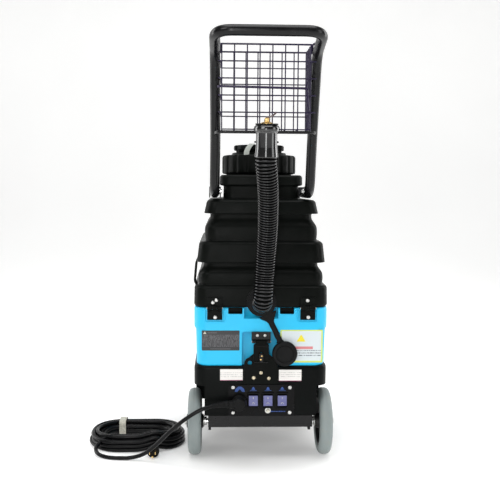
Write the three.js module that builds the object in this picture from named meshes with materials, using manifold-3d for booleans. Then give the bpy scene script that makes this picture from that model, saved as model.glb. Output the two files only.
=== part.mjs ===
// Upright spot extractor: a black base with motor and pump, a blue solution tank, a ribbed recovery tank that
// tips back on two rear hinges, a tubular handle with a wire basket, and a drain hose up the back.
// Millimetres. +Z up, -Y is the operator's side (handle, switches, large wheels), +X is the operator's right.
// The origin is on the floor under the middle of the machine's outline.
import * as THREE from "three";
import { mergeVertices } from "three/addons/utils/BufferGeometryUtils.js";
import Module from "manifold-3d";

const wasm = await Module();
wasm.setup();

// ---------------------------------------------------------------- driving dimensions
const REAR = -90; // rear face of the body
const FRONT = 310; // front face of the body
const WALL = 4.5; // moulded wall thickness
const GAP = 0.4; // running gap between neighbouring pieces

const WHEEL_R = 76.2;
const WHEEL_W = 30;
const TRACK = 297; // between the wheels' middle planes
const AXLE_Y = REAR + 60;
const AXLE_R = 6.35;

const PAN_BOTTOM = 83;
const PAD_DEEP = 3; // the pan's middle is pressed this much lower
const BASE_BOTTOM = 104;
const BASE_TOP = 218;
const BASE_HALF = 149.5;
const WELL_HALF = 125.5; // half width of the base between the wheel wells
const WELL_TOP = 173.5;

const PANEL_X = 1.5;
const PANEL_HALF = 74;
const PANEL_Z = [105.5, 177];
const PANEL_Y = [REAR - GAP - 3, REAR - GAP];
const ROCKER_Z = 141.6;
const ROCKERS = [["heater", -16.7], ["pump", 16], ["vacuum", 48]];
const ROCKER_W = 20;
const ROCKER_H = 26;
const ROCK_GAP = 1.4; // above and below a rocker, for its swing
const BREAKER = [16, 118.6];
const INLET = [-48, 138];

const BLUE_BOTTOM = 218.6;
const BLUE_TOP = 349.4;
const BLUE_REAR = REAR + 1.5;
const BLUE_FRONT = FRONT - 1.5;
const RECESS_HALF = 42.5;

const RIM_BOTTOM = 350.6;
const HINGE_Y = REAR - 6;
const HINGE_Z = 350;
const HINGE_X = 103.5;

const PIPE_Y = 215; // the vacuum standpipe inside the recovery tank
const DECK_TOP = 644;
const NECK_Y = 80; // centre of the lid
const NECK_R = 78;
const LID_R = 88;
const FILLER_R = 60;

const TUBE_R = 10.6; // handle tube
const HANDLE_HALF = 104.5;
const HANDLE_MID_HALF = 102.4; // beside the basket
const HANDLE_TOP_HALF = 103.2;
const LEDGE_TUBE_Z = 603;
const RAIL_Z = 910.2;
const RAIL_Y = -316.1;

const WIRE = 3;
const BASKET_REAR = -218;
const BASKET_FRONT = -124;
const BASKET_BOTTOM = 733;
const COLUMN = 25.55;
const ROW = 33.8;

const HOSE_R = 21;
const PORT_Z = 364;
const CUFF_BOTTOM = [0, -240.6, 676];
const CUFF_TILT = THREE.MathUtils.degToRad(6);

const CORD_R = 4.5;
const COIL = [-290, 50]; // middle of the coil on the floor
const COIL_RUN = 35; // half of the straight run between its round ends
const COIL_OUTER = 80;
const COIL_INNER = 40;
const COIL_HEIGHT = 42;
const PLUG_X = -243;

// ---------------------------------------------------------------- colours
function material(color, roughness, metalness = 0) {
  return new THREE.MeshStandardMaterial({ color, roughness, metalness });
}
const BLACK_MOULDED = material(0x17191a, 0.55);
const BLUE_MOULDED = material(0x27b4f2, 0.4);
const BLACK_PAINT = material(0x141517, 0.35, 0.3);
const BLACK_RUBBER = material(0x101112, 0.75);
const GREY_TYRE = material(0x9ba5a6, 0.7);
const STEEL = material(0xc9cbcc, 0.3, 1);
const BRASS = material(0xc79a3e, 0.3, 1);
const SWITCH_BLUE = material(0x5a57a8, 0.35);
const PANEL_BLACK = material(0x1a1b1d, 0.6);
const DARK_RED = material(0x5c2019, 0.5);
const CORD_BLACK = material(0x0e0f10, 0.5);

// ---------------------------------------------------------------- solids
// A closed geometry as a manifold-3d solid, with its shared vertices merged and its faces turned outwards.
function solid(geometry) {
  const bare = geometry.index ? geometry.toNonIndexed() : geometry.clone();
  bare.deleteAttribute("normal");
  bare.deleteAttribute("uv");
  const merged = mergeVertices(bare, 1e-4);
  const vertProperties = merged.attributes.position.array;
  const triVerts = new Uint32Array(merged.index.array);
  const made = new wasm.Manifold(new wasm.Mesh({ numProp: 3, vertProperties, triVerts }));
  if (made.volume() > 0) return made;
  triVerts.reverse();
  return new wasm.Manifold(new wasm.Mesh({ numProp: 3, vertProperties, triVerts }));
}

function geometryOf(made) {
  const mesh = made.getMesh();
  return new THREE.BufferGeometry()
    .setAttribute("position", new THREE.BufferAttribute(new Float32Array(mesh.vertProperties), 3))
    .setIndex(new THREE.BufferAttribute(new Uint32Array(mesh.triVerts), 1));
}

function join(...pieces) {
  return pieces.map(asSolid).reduce((a, b) => a.add(b));
}

function cut(whole, ...tools) {
  return tools.map(asSolid).reduce((a, b) => a.subtract(b), asSolid(whole));
}

function asSolid(piece) {
  return piece.isBufferGeometry ? solid(piece) : piece;
}

function box(x0, x1, y0, y1, z0, z1) {
  return new THREE.BoxGeometry(x1 - x0, y1 - y0, z1 - z0).translate(
    (x0 + x1) / 2, (y0 + y1) / 2, (z0 + z1) / 2);
}

// A round bar along "x", "y" or "z" from one end's centre.
function bar(axis, radius, [x, y, z], length, sides = 24) {
  const made = new THREE.CylinderGeometry(radius, radius, length, sides).translate(0, length / 2, 0);
  if (axis === "x") made.rotateZ(-Math.PI / 2);
  if (axis === "z") made.rotateX(Math.PI / 2);
  return made.translate(x, y, z);
}

// A turned piece about a vertical axis; the profile is [radius, height] pairs from the axis and back to it.
function turned(profile, segments = 32) {
  const points = profile.map(([r, h]) => new THREE.Vector2(r, h));
  return new THREE.LatheGeometry(points, segments).rotateX(Math.PI / 2);
}

// A closed ring turned about a vertical axis; the profile is a loop of [radius, height] pairs.
function turnedRing(profile, segments = 32) {
  return turned([...profile, profile[0]], segments);
}

// The outline of a rounded rectangle, anticlockwise.
function roundedOutline(x0, x1, y0, y1, r) {
  const shape = new THREE.Shape();
  shape.moveTo(x0 + r, y0);
  shape.lineTo(x1 - r, y0);
  shape.absarc(x1 - r, y0 + r, r, -Math.PI / 2, 0);
  shape.lineTo(x1, y1 - r);
  shape.absarc(x1 - r, y1 - r, r, 0, Math.PI / 2);
  shape.lineTo(x0 + r, y1);
  shape.absarc(x0 + r, y1 - r, r, Math.PI / 2, Math.PI);
  shape.lineTo(x0, y0 + r);
  shape.absarc(x0 + r, y0 + r, r, Math.PI, Math.PI * 1.5);
  return shape;
}

function plateAcrossY(shape, y0, y1) {
  return new THREE.ExtrudeGeometry(shape, { depth: y1 - y0, bevelEnabled: false, curveSegments: 6 })
    .rotateX(Math.PI / 2)
    .translate(0, y1, 0);
}

function circlePath(x, y, r) {
  return new THREE.Path().absarc(x, y, r, 0, Math.PI * 2, true);
}

const CORNER_STEPS = 3;

// The points of one level of a loft: a rounded rectangle, anticlockwise.
function ring([z, half, y0, y1, r]) {
  const corners = [[half - r, y0 + r], [half - r, y1 - r], [r - half, y1 - r], [r - half, y0 + r]];
  return corners.flatMap(([x, y], quarter) =>
    Array.from({ length: CORNER_STEPS + 1 }, (_, i) => {
      const a = (quarter - 1 + i / CORNER_STEPS) * Math.PI / 2;
      return [x + r * Math.cos(a), y + r * Math.sin(a), z];
    }));
}

// A stack of rounded rectangles, one per level [z, half width, rear y, front y, corner radius], skinned and capped.
function loft(levels) {
  const rings = levels.map(ring);
  const count = rings[0].length;
  const index = [];
  for (let k = 0; k + 1 < rings.length; k++) {
    for (let i = 0; i < count; i++) {
      const a = k * count + i;
      const b = k * count + ((i + 1) % count);
      index.push(a, b, b + count, a, b + count, a + count);
    }
  }
  const top = (rings.length - 1) * count;
  for (let i = 1; i + 1 < count; i++) {
    index.push(0, i + 1, i);
    index.push(top, top + i, top + i + 1);
  }
  return new THREE.BufferGeometry()
    .setAttribute("position", new THREE.Float32BufferAttribute(rings.flat(2), 3))
    .setIndex(index);
}

// Straight runs between corner points, with each corner rounded off by its own reach.
function roundedRoute(corners) {
  const points = corners.map(([x, y, z]) => new THREE.Vector3(x, y, z));
  const route = new THREE.CurvePath();
  let from = points[0];
  for (let i = 1; i + 1 < points.length; i++) {
    const reach = corners[i][3];
    const into = points[i].clone().sub(points[i - 1]).setLength(reach);
    const out = points[i + 1].clone().sub(points[i]).setLength(reach);
    const start = points[i].clone().sub(into);
    const end = points[i].clone().add(out);
    route.add(new THREE.LineCurve3(from, start));
    route.add(new THREE.QuadraticBezierCurve3(start, points[i], end));
    from = end;
  }
  route.add(new THREE.LineCurve3(from, points.at(-1)));
  return route;
}

function tube(route, radius, sides, steps) {
  const section = new THREE.Shape();
  for (let i = 0; i < sides; i++) {
    const a = (i / sides) * Math.PI * 2;
    if (i === 0) section.moveTo(radius * Math.cos(a), radius * Math.sin(a));
    else section.lineTo(radius * Math.cos(a), radius * Math.sin(a));
  }
  return new THREE.ExtrudeGeometry(section, { steps, extrudePath: route, bevelEnabled: false });
}

function through(points) {
  return new THREE.CatmullRomCurve3(points.map((p) => new THREE.Vector3(...p)), false, "centripetal");
}

// ---------------------------------------------------------------- assembly
const extractor = new THREE.Group();

function add(name, piece, finish) {
  const mesh = new THREE.Mesh(geometryOf(asSolid(piece)), finish);
  mesh.name = name;
  extractor.add(mesh);
}

const SIDES = [["left", -1], ["right", 1]];

// ---------------------------------------------------------------- base
function wheelWell(side) {
  const rounded = new THREE.Shape();
  const front = AXLE_Y + WHEEL_R + 12;
  const r = 24;
  rounded.moveTo(REAR - 20, BASE_BOTTOM - 20);
  rounded.lineTo(front, BASE_BOTTOM - 20);
  rounded.lineTo(front, WELL_TOP - r);
  rounded.absarc(front - r, WELL_TOP - r, r, 0, Math.PI / 2);
  rounded.lineTo(REAR - 20, WELL_TOP);
  const deep = BASE_HALF - WELL_HALF + 20;
  return new THREE.ExtrudeGeometry(rounded, { depth: deep, bevelEnabled: false, curveSegments: 6 })
    .rotateY(Math.PI / 2)
    .rotateX(Math.PI / 2)
    .translate(side > 0 ? WELL_HALF : -WELL_HALF - deep, 0, 0);
}

function baseHousing() {
  const outer = loft([
    [BASE_BOTTOM, BASE_HALF - 5, REAR + 4, FRONT - 4, 26],
    [BASE_BOTTOM + 6, BASE_HALF - 1, REAR, FRONT, 28],
    [BASE_TOP - 5, BASE_HALF, REAR, FRONT, 28],
    [BASE_TOP, BASE_HALF - 3, REAR + 3, FRONT - 3, 26],
  ]);
  const floor = BASE_BOTTOM + WALL;
  const wellFront = AXLE_Y + WHEEL_R + 12;
  const cavity = join(
    box(-WELL_HALF + WALL, WELL_HALF - WALL, REAR + WALL + 1, FRONT - WALL - 3, floor, BASE_TOP + 5),
    box(-BASE_HALF + 8, BASE_HALF - 8, wellFront + WALL, FRONT - 30, floor, BASE_TOP + 5),
  );
  const holes = [
    bar("y", 7.5, [90, FRONT - 20, 160], 40),
    bar("y", 14.6, [INLET[0], REAR - 5, INLET[1]], 20),
    bar("y", 5, [BREAKER[0], REAR - 5, BREAKER[1]], 20, 16),
    ...ROCKERS.map(([, x]) => box(x - 12, x + 12, REAR - 5, REAR + 15, ROCKER_Z - 15, ROCKER_Z + 15)),
  ];
  return cut(outer, cavity, ...SIDES.map(([, s]) => wheelWell(s)), ...holes);
}

// The steel tray under the base, with an ear welded to each side to carry the axle.
function chassisPan() {
  const half = 117.5;
  const outer = box(-half, half, REAR + 6, FRONT - 12, PAN_BOTTOM, BASE_BOTTOM - GAP);
  const inner = box(-half + 3, half - 3, REAR + 9, FRONT - 15, PAN_BOTTOM + 3, BASE_BOTTOM + 5);
  const pad = box(-55, 55, 5, 225, PAN_BOTTOM - PAD_DEEP, PAN_BOTTOM + 1);
  const ears = SIDES.map(([, s]) => box(Math.min(s * (half - 6), s * half), Math.max(s * (half - 6), s * half),
    AXLE_Y - 16, AXLE_Y + 16, WHEEL_R - 17, BASE_BOTTOM - GAP));
  const bore = bar("x", AXLE_R + 0.3, [-half - 10, AXLE_Y, WHEEL_R], 2 * half + 20, 16);
  return cut(join(cut(outer, inner), pad, ...ears), bore);
}

add("base_housing", baseHousing(), BLACK_MOULDED);
add("chassis_pan", chassisPan(), BLACK_PAINT);

// ---------------------------------------------------------------- axle and large wheels
const WHEEL_X = TRACK / 2;

function hub() {
  const half = WHEEL_W / 2;
  const profile = [
    [AXLE_R + 0.3, -half - 4], [16, -half - 4], [18, -5], [51, -4], [53, -half + 3], [57.6, -half + 3],
    [57.6, half - 3], [53, half - 3], [51, 4], [18, 5], [16, half + 4], [AXLE_R + 0.3, half + 4],
  ];
  return turnedRing(profile, 20).rotateY(Math.PI / 2);
}

function tyre() {
  const half = WHEEL_W / 2;
  const profile = [
    [58, -half + 2], [66, -half], [73, -half + 4], [WHEEL_R, -half + 11],
    [WHEEL_R, half - 11], [73, half - 4], [66, half], [58, half - 2],
  ];
  return turnedRing(profile, 36).rotateY(Math.PI / 2);
}

const axleHalf = WHEEL_X + WHEEL_W / 2 + 8;
add("axle", bar("x", AXLE_R, [-axleHalf, AXLE_Y, WHEEL_R], 2 * axleHalf, 16), STEEL);
for (const [name, side] of SIDES) {
  add("wheel_hub_" + name, hub().translate(side * WHEEL_X, AXLE_Y, WHEEL_R), BLACK_MOULDED);
  add("tyre_" + name, tyre().translate(side * WHEEL_X, AXLE_Y, WHEEL_R), GREY_TYRE);
}

// ---------------------------------------------------------------- front casters
const CASTER_X = 84;
const CASTER_Y = 258;
const CASTER_TRAIL = 20; // the wheel's axis is this far behind the swivel axis
const CASTER_R = 28;

function casterFork(side) {
  const x = side * CASTER_X;
  const wheelY = CASTER_Y - CASTER_TRAIL;
  const stem = bar("z", 10, [x, CASTER_Y, 71.5], PAN_BOTTOM - GAP - 71.5);
  const crown = bar("z", 21, [x, CASTER_Y, 62], 10);
  const cheeks = [-1, 1].map((s) => {
    const inner = x + s * 13.5;
    const outer = x + s * 16.5;
    const outline = new THREE.Shape();
    outline.moveTo(CASTER_Y + 12, 66);
    outline.lineTo(wheelY - 4, 66);
    outline.absarc(wheelY, CASTER_R, 9, Math.PI, Math.PI * 2, false);
    outline.lineTo(CASTER_Y + 12, 62);
    return new THREE.ExtrudeGeometry(outline, { depth: 3, bevelEnabled: false, curveSegments: 5 })
      .rotateY(Math.PI / 2)
      .rotateX(Math.PI / 2)
      .translate(Math.min(inner, outer), 0, 0);
  });
  const pin = bar("x", 3.5, [x - 16, wheelY, CASTER_R], 32, 12);
  return join(stem, crown, ...cheeks, pin);
}

function casterWheel() {
  const profile = [[3.9, -12], [24, -11], [CASTER_R, -5], [CASTER_R, 5], [24, 11], [3.9, 12]];
  return turnedRing(profile, 20).rotateY(Math.PI / 2);
}

for (const [name, side] of SIDES) {
  add("caster_fork_" + name, casterFork(side), STEEL);
  add("caster_wheel_" + name,
    casterWheel().translate(side * CASTER_X, CASTER_Y - CASTER_TRAIL, CASTER_R), GREY_TYRE);
}

// ---------------------------------------------------------------- machinery inside the base
add("vacuum_motor", turned([
  [0, 110], [52, 110], [52, 128], [70, 130], [70, 172], [52, 176], [46, 205], [0, 205],
], 28).translate(0, 190, 0), STEEL);
add("solution_pump", join(
  bar("y", 24, [-85, -10, 142], 72, 20),
  box(-112, -58, -52, -9, 113, 171),
), BLACK_MOULDED);
add("inline_heater", bar("y", 26, [84, -40, 146], 110, 20), STEEL);
add("solution_coupler", join(
  bar("y", 7, [90, FRONT - 14, 160], 30.5, 16),
  bar("y", 10.5, [90, FRONT + GAP, 160], 12, 16),
), BRASS);

// ---------------------------------------------------------------- switch panel
function switchPanel() {
  const shape = roundedOutline(PANEL_X - PANEL_HALF, PANEL_X + PANEL_HALF, PANEL_Z[0], PANEL_Z[1], 6);
  const plate = plateAcrossY(shape, PANEL_Y[0], PANEL_Y[1]);
  const frames = ROCKERS.map(([, x]) =>
    box(x - 14, x + 14, PANEL_Y[0] - 2, PANEL_Y[0] + 1, ROCKER_Z - 19, ROCKER_Z + 19));
  const windows = ROCKERS.map(([, x]) =>
    box(x - ROCKER_W / 2 - GAP, x + ROCKER_W / 2 + GAP, PANEL_Y[0] - 5, PANEL_Y[1] + 2,
      ROCKER_Z - ROCKER_H / 2 - ROCK_GAP, ROCKER_Z + ROCKER_H / 2 + ROCK_GAP));
  const holes = [
    bar("y", 4.2, [BREAKER[0], PANEL_Y[0] - 5, BREAKER[1]], 20, 16),
    bar("y", 14.4, [INLET[0], PANEL_Y[0] - 5, INLET[1]], 20, 24),
  ];
  return cut(join(plate, ...frames), ...windows, ...holes);
}

// A rocker's actuator: a shallow vee that turns on a pin across its middle.
function rocker(x) {
  const half = ROCKER_H / 2;
  const outline = new THREE.Shape();
  outline.moveTo(REAR + 3, ROCKER_Z - half + 4);
  outline.lineTo(PANEL_Y[0] - 2, ROCKER_Z - half + 0.6);
  outline.lineTo(PANEL_Y[0] - 6, ROCKER_Z - half + 1);
  outline.lineTo(PANEL_Y[0] - 3.6, ROCKER_Z);
  outline.lineTo(PANEL_Y[0] - 2.2, ROCKER_Z + half - 1);
  outline.lineTo(REAR + 3, ROCKER_Z + half - 4);
  return new THREE.ExtrudeGeometry(outline, { depth: ROCKER_W, bevelEnabled: false })
    .rotateY(Math.PI / 2)
    .rotateX(Math.PI / 2)
    .translate(x - ROCKER_W / 2, 0, 0);
}

add("switch_panel", switchPanel(), PANEL_BLACK);
for (const [name, x] of ROCKERS) add("rocker_" + name, rocker(x), SWITCH_BLUE);
add("breaker_button", bar("y", 3.6, [BREAKER[0], PANEL_Y[0] - 6, BREAKER[1]], 8.5, 16), STEEL);

// ---------------------------------------------------------------- power inlet, connector and cord
add("power_inlet", join(
  bar("y", 14, [INLET[0], REAR + 10, INLET[1]].map((v, i) => (i === 1 ? PANEL_Y[0] - 1 : v)), 16, 24),
  bar("y", 16.8, [INLET[0], PANEL_Y[0] - 3.4, INLET[1]], 3, 24),
), PANEL_BLACK);

const CONNECTOR_Y = PANEL_Y[0] - 3.8;
const CORD_Y = CONNECTOR_Y - 16;
add("cord_connector", join(
  bar("y", 16, [INLET[0], CONNECTOR_Y - 28, INLET[1]], 28, 20),
  bar("x", 9, [INLET[0] - 24, CORD_Y, INLET[1]], 24, 16),
), BLACK_RUBBER);

const LEAD = [
  [INLET[0] - 24.4, CORD_Y, INLET[1]], [-84, CORD_Y, INLET[1]], [-108, -117, 135], [-136, -122, 127],
  [-169, -121, 106],
  [-202, -110, 76], [-233, -95, 42], [-261, -83, 17], [-290, -78, 6.5], [-318, -76, 4.9], [-346, -70, 4.9],
  [-368, -55, 7], [-377, -36, 12], [-375, -21, 17],
];
add("power_cord", tube(through(LEAD), CORD_R, 8, 20), CORD_BLACK);

// A stadium outline around the coil's middle: straight runs along X, round ends.
function stadium(Outline, r) {
  const outline = new Outline();
  outline.absarc(COIL[0] + COIL_RUN, COIL[1], r, -Math.PI / 2, Math.PI / 2);
  outline.absarc(COIL[0] - COIL_RUN, COIL[1], r, Math.PI / 2, Math.PI * 1.5);
  outline.closePath();
  return outline;
}

function cordCoil() {
  const shape = stadium(THREE.Shape, COIL_OUTER);
  shape.holes.push(stadium(THREE.Path, COIL_INNER));
  return new THREE.ExtrudeGeometry(shape, { depth: COIL_HEIGHT - 0.2, bevelEnabled: false, curveSegments: 10 })
    .translate(0, 0, 0.2);
}
add("power_cord_coil", cordCoil(), CORD_BLACK);

// The plug lies in front of the coil with its blades towards the operator.
const PLUG_BACK = COIL[1] - COIL_OUTER - GAP;
function powerPlug() {
  const body = bar("y", 12, [PLUG_X, PLUG_BACK - 26, 14.3], 26, 12);
  const nose = bar("y", 14, [PLUG_X, PLUG_BACK - 33, 14.3], 8, 12);
  const blades = [-1, 1].map((s) => box(PLUG_X + s * 6.35 - 0.8, PLUG_X + s * 6.35 + 0.8,
    PLUG_BACK - 50, PLUG_BACK - 32, 14.3 - 3.2, 14.3 + 3.2));
  return join(body, nose, ...blades);
}
add("power_plug", powerPlug(), BLACK_RUBBER);

// ---------------------------------------------------------------- solution tank
const FILL = [-72, 168];

function solutionTank() {
  const outer = loft([
    [BLUE_BOTTOM, 141.5, BLUE_REAR + 3, BLUE_FRONT - 3, 24],
    [BLUE_BOTTOM + 4, 144, BLUE_REAR, BLUE_FRONT, 26],
    [299, 146, BLUE_REAR, BLUE_FRONT, 26],
    [304, 149.5, BLUE_REAR, BLUE_FRONT, 28],
    [BLUE_TOP - 4, 149.5, BLUE_REAR, BLUE_FRONT, 28],
    [BLUE_TOP, 147.5, BLUE_REAR + 2, BLUE_FRONT - 2, 26],
  ]);
  const cavity = join(
    box(-135, 135, -64, BLUE_FRONT - 14, BLUE_BOTTOM + WALL, BLUE_TOP - WALL),
    ...SIDES.map(([, s]) => box(Math.min(s * 48, s * 131), Math.max(s * 48, s * 131),
      BLUE_REAR + WALL, -60, BLUE_BOTTOM + WALL, 318)),
  );
  const boss = bar("z", 43, [...FILL, BLUE_TOP - 20], 19, 28);
  const hollow = cut(join(cut(outer, cavity), boss),
    bar("z", 38, [...FILL, BLUE_TOP - 15], 20, 28),
    bar("z", 30, [...FILL, BLUE_TOP - 25], 20, 28));
  const recess = box(-RECESS_HALF, RECESS_HALF, BLUE_REAR - 5, BLUE_REAR + 15, BLUE_BOTTOM - 5, 296);
  const scallop = bar("x", 26, [-38, HINGE_Y, HINGE_Z], 76, 32);
  const notches = SIDES.map(([, s]) => box(Math.min(s * 41, s * 74), Math.max(s * 41, s * 74),
    BLUE_REAR - 5, BLUE_REAR + 16, 335, BLUE_TOP + 5));
  const outlet = bar("z", 8, [100, 40, BLUE_BOTTOM - 5], 12, 16);
  const hingeSeats = SIDES.map(([, s]) => bar("x", 6, [s * HINGE_X - 18, HINGE_Y, HINGE_Z], 36, 20));
  return cut(hollow, recess, scallop, ...notches, ...hingeSeats, outlet);
}
add("solution_tank", solutionTank(), BLUE_MOULDED);
add("solution_fill_cap", turned([
  [0, BLUE_TOP - 14.6], [37, BLUE_TOP - 14.6], [37, BLUE_TOP - 4], [34, BLUE_TOP - 1.5], [0, BLUE_TOP - 1.5],
], 24).translate(...FILL, 0), BLACK_MOULDED);
add("pickup_filter", turned([
  [0, BLUE_BOTTOM + 6], [16, BLUE_BOTTOM + 6], [16, BLUE_BOTTOM + 40], [6, BLUE_BOTTOM + 46],
  [6, BLUE_BOTTOM + 70], [0, BLUE_BOTTOM + 70],
], 16).translate(100, 40, 0), BRASS);

// ---------------------------------------------------------------- rear hinges of the recovery tank
const LEAF_HALF = 16.5;
const PIN_R = 2;
const KNUCKLE_R = 4.6;
const UPPER_TOP = 373;
const LOWER_BOTTOM = 323;

function leafPlate(x, y0, y1, z0, z1) {
  return box(x - LEAF_HALF, x + LEAF_HALF, y0, y1, z0, z1);
}

function lowerLeaf(side) {
  const x = side * HINGE_X;
  const plate = leafPlate(x, BLUE_REAR - GAP - 3.2, BLUE_REAR - GAP, LOWER_BOTTOM, HINGE_Z - KNUCKLE_R - 1);
  const neck = box(x - 5, x + 5, HINGE_Y - 1, BLUE_REAR - GAP - 0.6, HINGE_Z - KNUCKLE_R - 3, HINGE_Z - 1);
  const knuckle = bar("x", KNUCKLE_R, [x - 5, HINGE_Y, HINGE_Z], 10, 20);
  const pin = bar("x", PIN_R, [x - LEAF_HALF, HINGE_Y, HINGE_Z], 2 * LEAF_HALF, 16);
  return join(plate, neck, knuckle, pin);
}

function upperLeaf(side) {
  const x = side * HINGE_X;
  const plate = leafPlate(x, REAR - GAP - 3.2, REAR - GAP, HINGE_Z + KNUCKLE_R + 1, UPPER_TOP);
  const ears = [[-LEAF_HALF, -5.5], [5.5, LEAF_HALF]].flatMap(([a, b]) => [
    bar("x", KNUCKLE_R, [x + a, HINGE_Y, HINGE_Z], b - a, 20),
    box(x + a, x + b, HINGE_Y + 0.5, REAR - GAP - 0.6, HINGE_Z + 1, HINGE_Z + KNUCKLE_R + 3),
  ]);
  const bore = bar("x", PIN_R + 0.3, [x - LEAF_HALF - 5, HINGE_Y, HINGE_Z], 2 * LEAF_HALF + 10, 16);
  return cut(join(plate, ...ears), bore);
}

for (const [name, side] of SIDES) {
  add("hinge_lower_" + name, lowerLeaf(side), BLACK_MOULDED);
  add("hinge_upper_" + name, upperLeaf(side), BLACK_MOULDED);
}

// ---------------------------------------------------------------- rear hasp between solution tank and base
const HASP_Z = 275;
const HASP_Y = REAR - 6.4;
const KNOB_Z = 240;
const PLATE_Y = [REAR - GAP - 3, REAR - GAP];

function haspPlate() {
  const shape = new THREE.Shape();
  shape.moveTo(-37, 178.5);
  shape.lineTo(37, 178.5);
  shape.lineTo(37, 226);
  shape.absarc(25, 226, 12, 0, Math.PI * 0.42);
  shape.lineTo(14, 249);
  shape.lineTo(-14, 249);
  shape.absarc(-25, 226, 12, Math.PI * 0.58, Math.PI);
  shape.holes.push(circlePath(-25, 226, 5));
  const plate = new THREE.ExtrudeGeometry(shape, { depth: 3, bevelEnabled: false, curveSegments: 6 })
    .rotateX(Math.PI / 2)
    .translate(0, PLATE_Y[1], 0);
  return cut(plate, bar("y", 4.3, [0, PLATE_Y[0] - 5, KNOB_Z], 12, 16));
}

function haspBlock() {
  const body = box(-21, 21, REAR - 2.6, BLUE_REAR + 15 - GAP, HASP_Z + 1.5, 298 - 2.4);
  const ears = [[-20.5, -13], [13, 20.5]].map(([a, b]) => join(
    bar("x", 3.6, [a, HASP_Y, HASP_Z], b - a, 16),
    box(a, b, HASP_Y + 0.5, REAR - 1, HASP_Z - 1, HASP_Z + 3),
  ));
  const pin = bar("x", 1.6, [-20, HASP_Y, HASP_Z], 40, 12);
  return join(body, ...ears, pin);
}

function haspLeaf() {
  const knuckle = bar("x", 3.6, [-12.5, HASP_Y, HASP_Z], 25, 16);
  const shape = roundedOutline(-17, 17, 225, HASP_Z - 4.5, 5);
  shape.holes.push(slotPath(0, KNOB_Z, 5.2, 11));
  const plate = new THREE.ExtrudeGeometry(shape, { depth: 3, bevelEnabled: false, curveSegments: 6 })
    .rotateX(Math.PI / 2)
    .translate(0, PLATE_Y[0] - GAP, 0);
  const bore = bar("x", 1.9, [-20, HASP_Y, HASP_Z], 40, 12);
  const neck = box(-12.5, 12.5, PLATE_Y[0] - GAP - 3, PLATE_Y[0] - GAP, HASP_Z - 6, HASP_Z);
  return cut(join(plate, neck, knuckle), bore);
}

// An upright slot: half width w, half height h, with round ends.
function slotPath(x, z, w, h) {
  const path = new THREE.Path();
  path.absarc(x, z + h - w, w, 0, Math.PI, false);
  path.absarc(x, z - h + w, w, Math.PI, Math.PI * 2, false);
  path.closePath();
  return path;
}

function turnKnob() {
  const shank = bar("y", 4, [0, PLATE_Y[0] - 11, KNOB_Z], 13.5, 16);
  const wing = new THREE.Shape();
  wing.absarc(0, KNOB_Z + 5.4, 4.2, 0, Math.PI, false);
  wing.absarc(0, KNOB_Z - 5.4, 4.2, Math.PI, Math.PI * 2, false);
  const blade = new THREE.ExtrudeGeometry(wing, { depth: 7, bevelEnabled: false, curveSegments: 6 })
    .rotateX(Math.PI / 2)
    .translate(0, PLATE_Y[0] - GAP - 3.8, 0);
  return join(shank, blade);
}

add("hasp_plate", haspPlate(), BLACK_PAINT);
add("hasp_block", haspBlock(), BLACK_PAINT);
add("hasp_leaf", haspLeaf(), BLACK_PAINT);
add("turn_knob", turnKnob(), BLACK_PAINT);

// ---------------------------------------------------------------- tethered port cap
const CAP = [52, 249];

add("port_cap_strap", (() => {
  const y = BLUE_REAR - GAP - 1.7;
  const strap = through([[19, y, 326], [24, y, 312], [31, y, 299], [35.5, y - 1, 288], [CAP[0] - 11.5, y - 2, 279]]);
  return orientedStrip(strap, 12, 3, 12);
})(), BLACK_RUBBER);

// A flat strip that keeps its broad side facing the rear as it follows a curve.
function orientedStrip(curve, width, thick, steps) {
  const positions = [];
  const index = [];
  for (let i = 0; i <= steps; i++) {
    const p = curve.getPointAt(i / steps);
    const t = curve.getTangentAt(i / steps);
    const across = new THREE.Vector3(-t.z, 0, t.x).setLength(width / 2);
    for (const [s, d] of [[-1, -1], [1, -1], [1, 1], [-1, 1]]) {
      positions.push(p.x + s * across.x, p.y + (d * thick) / 2, p.z + s * across.z);
    }
  }
  for (let i = 0; i < steps; i++) {
    for (let k = 0; k < 4; k++) {
      const a = i * 4 + k;
      const b = i * 4 + ((k + 1) % 4);
      index.push(a, b, b + 4, a, b + 4, a + 4);
    }
  }
  const end = steps * 4;
  index.push(0, 2, 1, 0, 3, 2, end, end + 1, end + 2, end, end + 2, end + 3);
  const made = new THREE.BufferGeometry()
    .setAttribute("position", new THREE.Float32BufferAttribute(positions, 3))
    .setIndex(index);
  return made;
}

add("port_cap", (() => {
  const profile = [[0, 0], [28, 0], [28, 3.5], [24.5, 6], [24.5, 12.5], [22, 15], [0, 15]];
  return turned(profile, 28).rotateX(Math.PI / 2).translate(CAP[0], PLATE_Y[0] - 0.6, CAP[1]);
})(), BLACK_RUBBER);

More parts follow.
